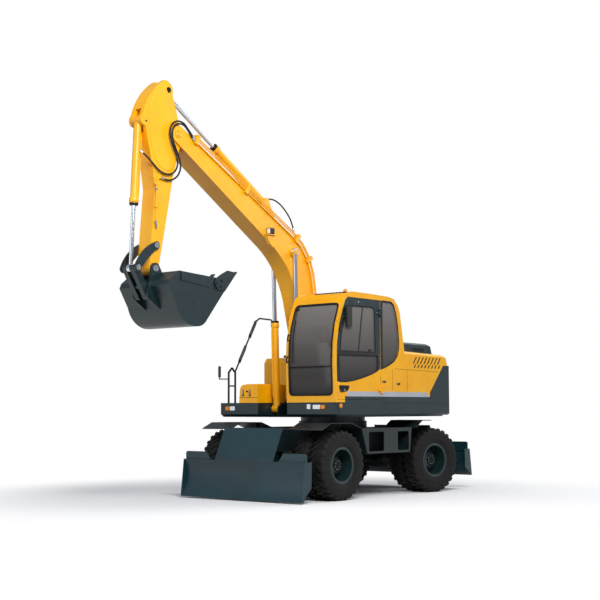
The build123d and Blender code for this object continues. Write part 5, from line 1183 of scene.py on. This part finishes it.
# The swaged end: distance along the hose, share of the hose's radius
SWAGE = ((-0.006, 1.5), (0.0, 1.6), (0.018, 1.6), (0.020, 1.3), (0.045, 1.2), (0.047, 0.9))


def hose(name, route, radius, body, blend_to=None):
    """Rubber tube along a route, with a swaged fitting at each end; across a joint the tube rides on
    nothing and its end fitting on `blend_to`.
    """
    line = spline_line([at(*point) for point in route])
    rides = None if blend_to else body
    tube = swept(name, line, round_bar(radius), hose_rubber, rides, up=(0.05, 1.0, 0.02))
    if blend_to:
        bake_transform(tube)
    swage, out, back = sized(SWAGE, radius), line[2] - line[0], line[-3] - line[-1]
    turned(name + "_fitting_start", swage, line[0], out, pin_steel, body, 16)
    turned(name + "_fitting_end", swage, line[-1], back, pin_steel, blend_to or body, 16)


# %% [markdown]
# ## Routes of the hoses
# Two hoses leave the ends of the boom's pipes, go over the joint's side and hang in an S down to
# the arm, one inside the other. Their y is read from one short table, which leads the longer hose
# in to the bucket cylinder. The third feeds the arm cylinder and stays on the boom.

# %% Hoses across the arm's joint, and the arm cylinder's
HOSE_R, LIFT_R = 0.013, 0.012
PIPE_LANE, ARM_LANE = 0.138, 0.114
ARM_HOSES = {
    "hose_bucket_port": (
        (3.405, 5.335), (3.500, 5.420), (3.640, 5.545), (3.850, 5.500), (3.895, 5.330),
        (3.830, 5.160), (3.735, 5.030), (3.705, 4.900), (3.770, 4.770), (3.900, 4.715),
        (4.060, 4.745), (4.190, 4.840), (4.290, 4.945), (4.350, 5.010),
    ),
    "hose_arm_pipe": (
        (3.400, 5.300), (3.490, 5.385), (3.620, 5.508), (3.800, 5.475), (3.855, 5.320),
        (3.785, 5.150), (3.685, 5.010), (3.645, 4.870), (3.695, 4.740), (3.800, 4.660),
        (3.920, 4.634), (4.020, 4.662),
    ),
}
LANE_POINTS = (0, 3, 6, 11, 12, 13)
LANE_Y = (PIPE_LANE, 0.146, 0.126, ARM_LANE, 0.080, 0.026)
for name, route in ARM_HOSES.items():
    lanes = np.interp(np.arange(len(route)), LANE_POINTS, LANE_Y)
    hose(
        name, [(x, y, z) for (x, z), y in zip(route, lanes)], HOSE_R, "boom",
        blend_to="arm",
    )
LIFT_ROUTE = (
    (1.640, -0.020, 4.668), (1.520, -0.010, 4.700), (1.360, 0.020, 4.640), (1.225, 0.060, 4.500),
    (1.165, 0.110, 4.350), (1.150, 0.140, 4.205),
)
hose("hose_arm_cylinder", LIFT_ROUTE, LIFT_R, "boom")

# %% [markdown]
# ## Pipe on the arm
# Past the hose the oil runs in a steel pipe, clamped to the arm's side and ended by two unions.
# Its nuts are lathe work of six sides, the quickest way to a hexagon.

# %% The arm's own pipe, its nut, clamps and unions
ARM_PIPE = (
    (4.020, 0.114, 4.662), (4.085, 0.112, 4.640), (4.112, 0.108, 4.560), (4.114, 0.104, 4.300),
    (4.116, 0.102, 4.060), (4.130, 0.098, 4.010),
)
arm_pipe = [at(*point) for point in ARM_PIPE]
swept("arm_pipe", arm_pipe, round_bar(0.009), yellow_enamel, "arm", up=LEFT)
PIPE_NUT = ((-0.020, 0.016), (-0.016, 0.019), (0.016, 0.019), (0.020, 0.016))
turned("arm_pipe_nut", PIPE_NUT, at(4.113, 0.105, 4.484), UP, pin_steel, "arm", 6)
CLAMP_HALF, CLAMP_Y, CLAMP_WIDE = 0.018, 0.083, 0.036
for index, height in enumerate((4.560, 4.240)):
    clamp = rectangle(4.090, 4.138, height - CLAMP_HALF, height + CLAMP_HALF, 0.006)
    side_plate(f"arm_pipe_clamp_{index}", clamp, CLAMP_Y, CLAMP_WIDE, yellow_enamel, "arm", 0.003)
UNION = (
    (-0.030, 0.011), (-0.028, 0.016), (-0.006, 0.016), (-0.004, 0.020), (0.014, 0.020),
    (0.016, 0.014), (0.034, 0.012),
)
unions = [at(4.118, 0.106, 4.010), at(4.108, 0.106, 3.960)]
turned("arm_pipe_unions", UNION, unions, (0.05, 0, 1), pin_steel, "arm", 6)
# a dark disc on the arm's side: painted shade where the inside of the cross hole would be
CROSS_HOLE_SHADE = ((0.0, 0.017), (0.002, 0.016), (0.003, 0.010))
turned("arm_cross_hole_shade", CROSS_HOLE_SHADE, at(4.300, 0.0845, 5.440), LEFT, cast_iron, "arm", 24)
print("hoses done")

# %% [markdown]
# ## Boom lamp and doubling plate
# A second plate is welded over the arm where the pins load it most. It is flat with a ground
# edge, so it is an outline given 6 mm of thickness and a bevel.

# %% Boom lamp and the arm's doubling plate
LAMP_X, LAMP_Y, LAMP_Z, LENS_WIDE, LENS_HIGH = 1.779, BOOM_Y + 0.208, 4.138, 0.035, 0.038
lens_edge = rectangle(
    LAMP_Y - LENS_WIDE, LAMP_Y + LENS_WIDE, LAMP_Z - LENS_HIGH, LAMP_Z + LENS_HIGH, 0.008
)
lens_face = facing(lens_edge, LAMP_X)
plate("boom_lamp_lens", lens_face, (0.007, 0, 0), white_lens, "boom", 0.002)
DOUBLER = (
    (4.187, 5.850), (4.040, 5.985), (3.895, 5.970), (3.815, 5.640), (3.720, 5.250),
    (3.712, 4.960), (3.830, 4.780), (4.030, 4.810), (4.180, 5.020), (4.245, 5.590),
)
doubler = rounded(DOUBLER, 0.050)
side_plate("arm_doubling_plate", doubler, 0.0845, 0.006, yellow_enamel, "arm", 0.004)
print("boom dressed")


# %% [markdown]
# ## Floor
# A pale studio floor catches the shadow. Its colour is white to the camera by Light Path, so the
# background stays white without more light on the machine.

# %% Floor
WHITE = (1.0, 1.0, 1.0, 1.0)
FLOOR_HALF, FLOOR_DROP = 40.0, 0.001
FLOOR_MIDDLE, FLOOR_NEAR, FLOOR_FAR = (-0.3, 0.0, 0.0), 3.2, 6.5
LARGER = {"operation": "MAXIMUM"}


def white_to_camera(name, shade, colour):
    """Pale floor: `colour` to the camera, `shade` to the machine, fading to pure white far away."""
    m, tree, place = material(name)
    white = add(tree, "Emission", Color=WHITE, Strength=1.0)
    ray = add(tree, "LightPath").outputs
    seen = add(tree, "Math", LARGER, _0=ray["Is Camera Ray"], _1=ray["Is Glossy Ray"])
    seen = add(tree, "Math", LARGER, _0=seen, _1=ray["Is Transmission Ray"])
    coat = add(tree, "Mix", COLOURS, _0=seen, _6=shade, _7=colour).outputs[2]
    diffuse = add(tree, "BsdfDiffuse", Color=coat)
    away = add(tree, "VectorMath", {"operation": "DISTANCE"}, _0=place, _1=FLOOR_MIDDLE)
    far = add(
        tree, "MapRange", {"interpolation_type": "SMOOTHSTEP"}, Value=away.outputs["Value"],
        _1=FLOOR_NEAR, _2=FLOOR_FAR,
    )
    share = add(tree, "Math", MULTIPLY, _0=seen, _1=far)
    finish(tree, add(tree, "MixShader", _0=share, _1=diffuse, _2=white))
    return m


ground = bpy.data.meshes.new("floor")
floor_corners = [(x * FLOOR_HALF, y * FLOOR_HALF, 0) for x, y in ((-1, -1), (1, -1), (1, 1), (-1, 1))]
ground.from_pydata(floor_corners, [], [(0, 1, 2, 3)])
floor = bpy.data.objects.new("floor", ground)
bpy.context.collection.objects.link(floor)
floor.location.z = cad_box[0][2] - FLOOR_DROP
ground.materials.append(white_to_camera("pale_floor", linear("#8C8C8C"), linear("#F4F4F4")))
print("floor at", round(floor.location.z, 4))

# %% [markdown]
# ## World
# The room gives soft light from all sides, weak enough that the lamps still shape the machine.
# What the camera sees of it is plain white: Light Path tells those rays from the others.

# %% World: a soft, faintly blue room, white where it is seen
world = bpy.data.worlds.new("studio")
bpy.context.scene.world = world
world.use_nodes = True
sky = world.node_tree
sky.nodes.clear()
ray = add(sky, "LightPath").outputs
seen = add(sky, "Math", LARGER, _0=ray["Is Camera Ray"], _1=ray["Is Transmission Ray"])
soft = add(sky, "Background", Color=(0.86, 0.90, 1.0, 1.0), Strength=0.38)
white = add(sky, "Background", Color=WHITE, Strength=1.0)
both = add(sky, "MixShader", _0=seen, _1=soft, _2=white)
add(sky, "OutputWorld", Surface=both)
print("world", world.name)


# %% [markdown]
# ## Lamps
# A large key from the front left, a weak fill from the front right and a rim from behind: the
# usual three of a studio. Large lamps give soft shadows, which suit a machine of this size.

# %% Three softboxes
def area_lamp(name, place, target, size, power):
    """Square softbox at place, facing target."""
    lamp = bpy.data.lights.new(name, "AREA")
    lamp.size, lamp.energy = size, power
    obj = bpy.data.objects.new(name, lamp)
    bpy.context.collection.objects.link(obj)
    obj.location = place
    away = np.array(place) - np.array(target)
    yaw = math.atan2(away[1], away[0])
    obj.rotation_euler = (math.acos(away[2] / np.linalg.norm(away)), 0.0, yaw + math.pi / 2)


area_lamp("key", (7.0, 9.0, 9.0), (0, 0, 1.8), 5.0, 1400.0)
area_lamp("fill", (12.0, -4.0, 5.0), (0, 0, 1.5), 8.0, 260.0)
area_lamp("rim", (-8.0, 4.0, 8.0), (0, 0, 2.0), 6.0, 380.0)
print("softboxes", len(bpy.data.lights))

# %% [markdown]
# ## Camera
# A long lens from some 20 metres away keeps upright edges nearly parallel. The eye is 1.4 m above
# the ground, and the camera is tilted up a little, towards the boom.

# %% Camera: a long lens from the front left, near the ground
SENSOR, FRAME_WIDE, FOCAL = 36.0, 600.0, 1228.8  # sensor in mm; the others in one unit
CAMERA_YAW, CAMERA_PITCH, CAMERA_ROLL = 220.09, 5.04, 0.155
camera = bpy.data.cameras.new("camera")
camera.sensor_width = SENSOR
camera.lens = FOCAL / FRAME_WIDE * SENSOR
eye = bpy.data.objects.new("camera", camera)
bpy.context.collection.objects.link(eye)
eye.location = at(15.968, 12.733, 1.385)
eye.rotation_mode = "XYZ"
eye.rotation_euler = [
    math.radians(turn) for turn in (90 + CAMERA_PITCH, CAMERA_ROLL, CAMERA_YAW - 90)
]
bpy.context.scene.camera = eye
bpy.context.scene.view_settings.view_transform = "Standard"
print("lens", round(camera.lens, 2), "mm")
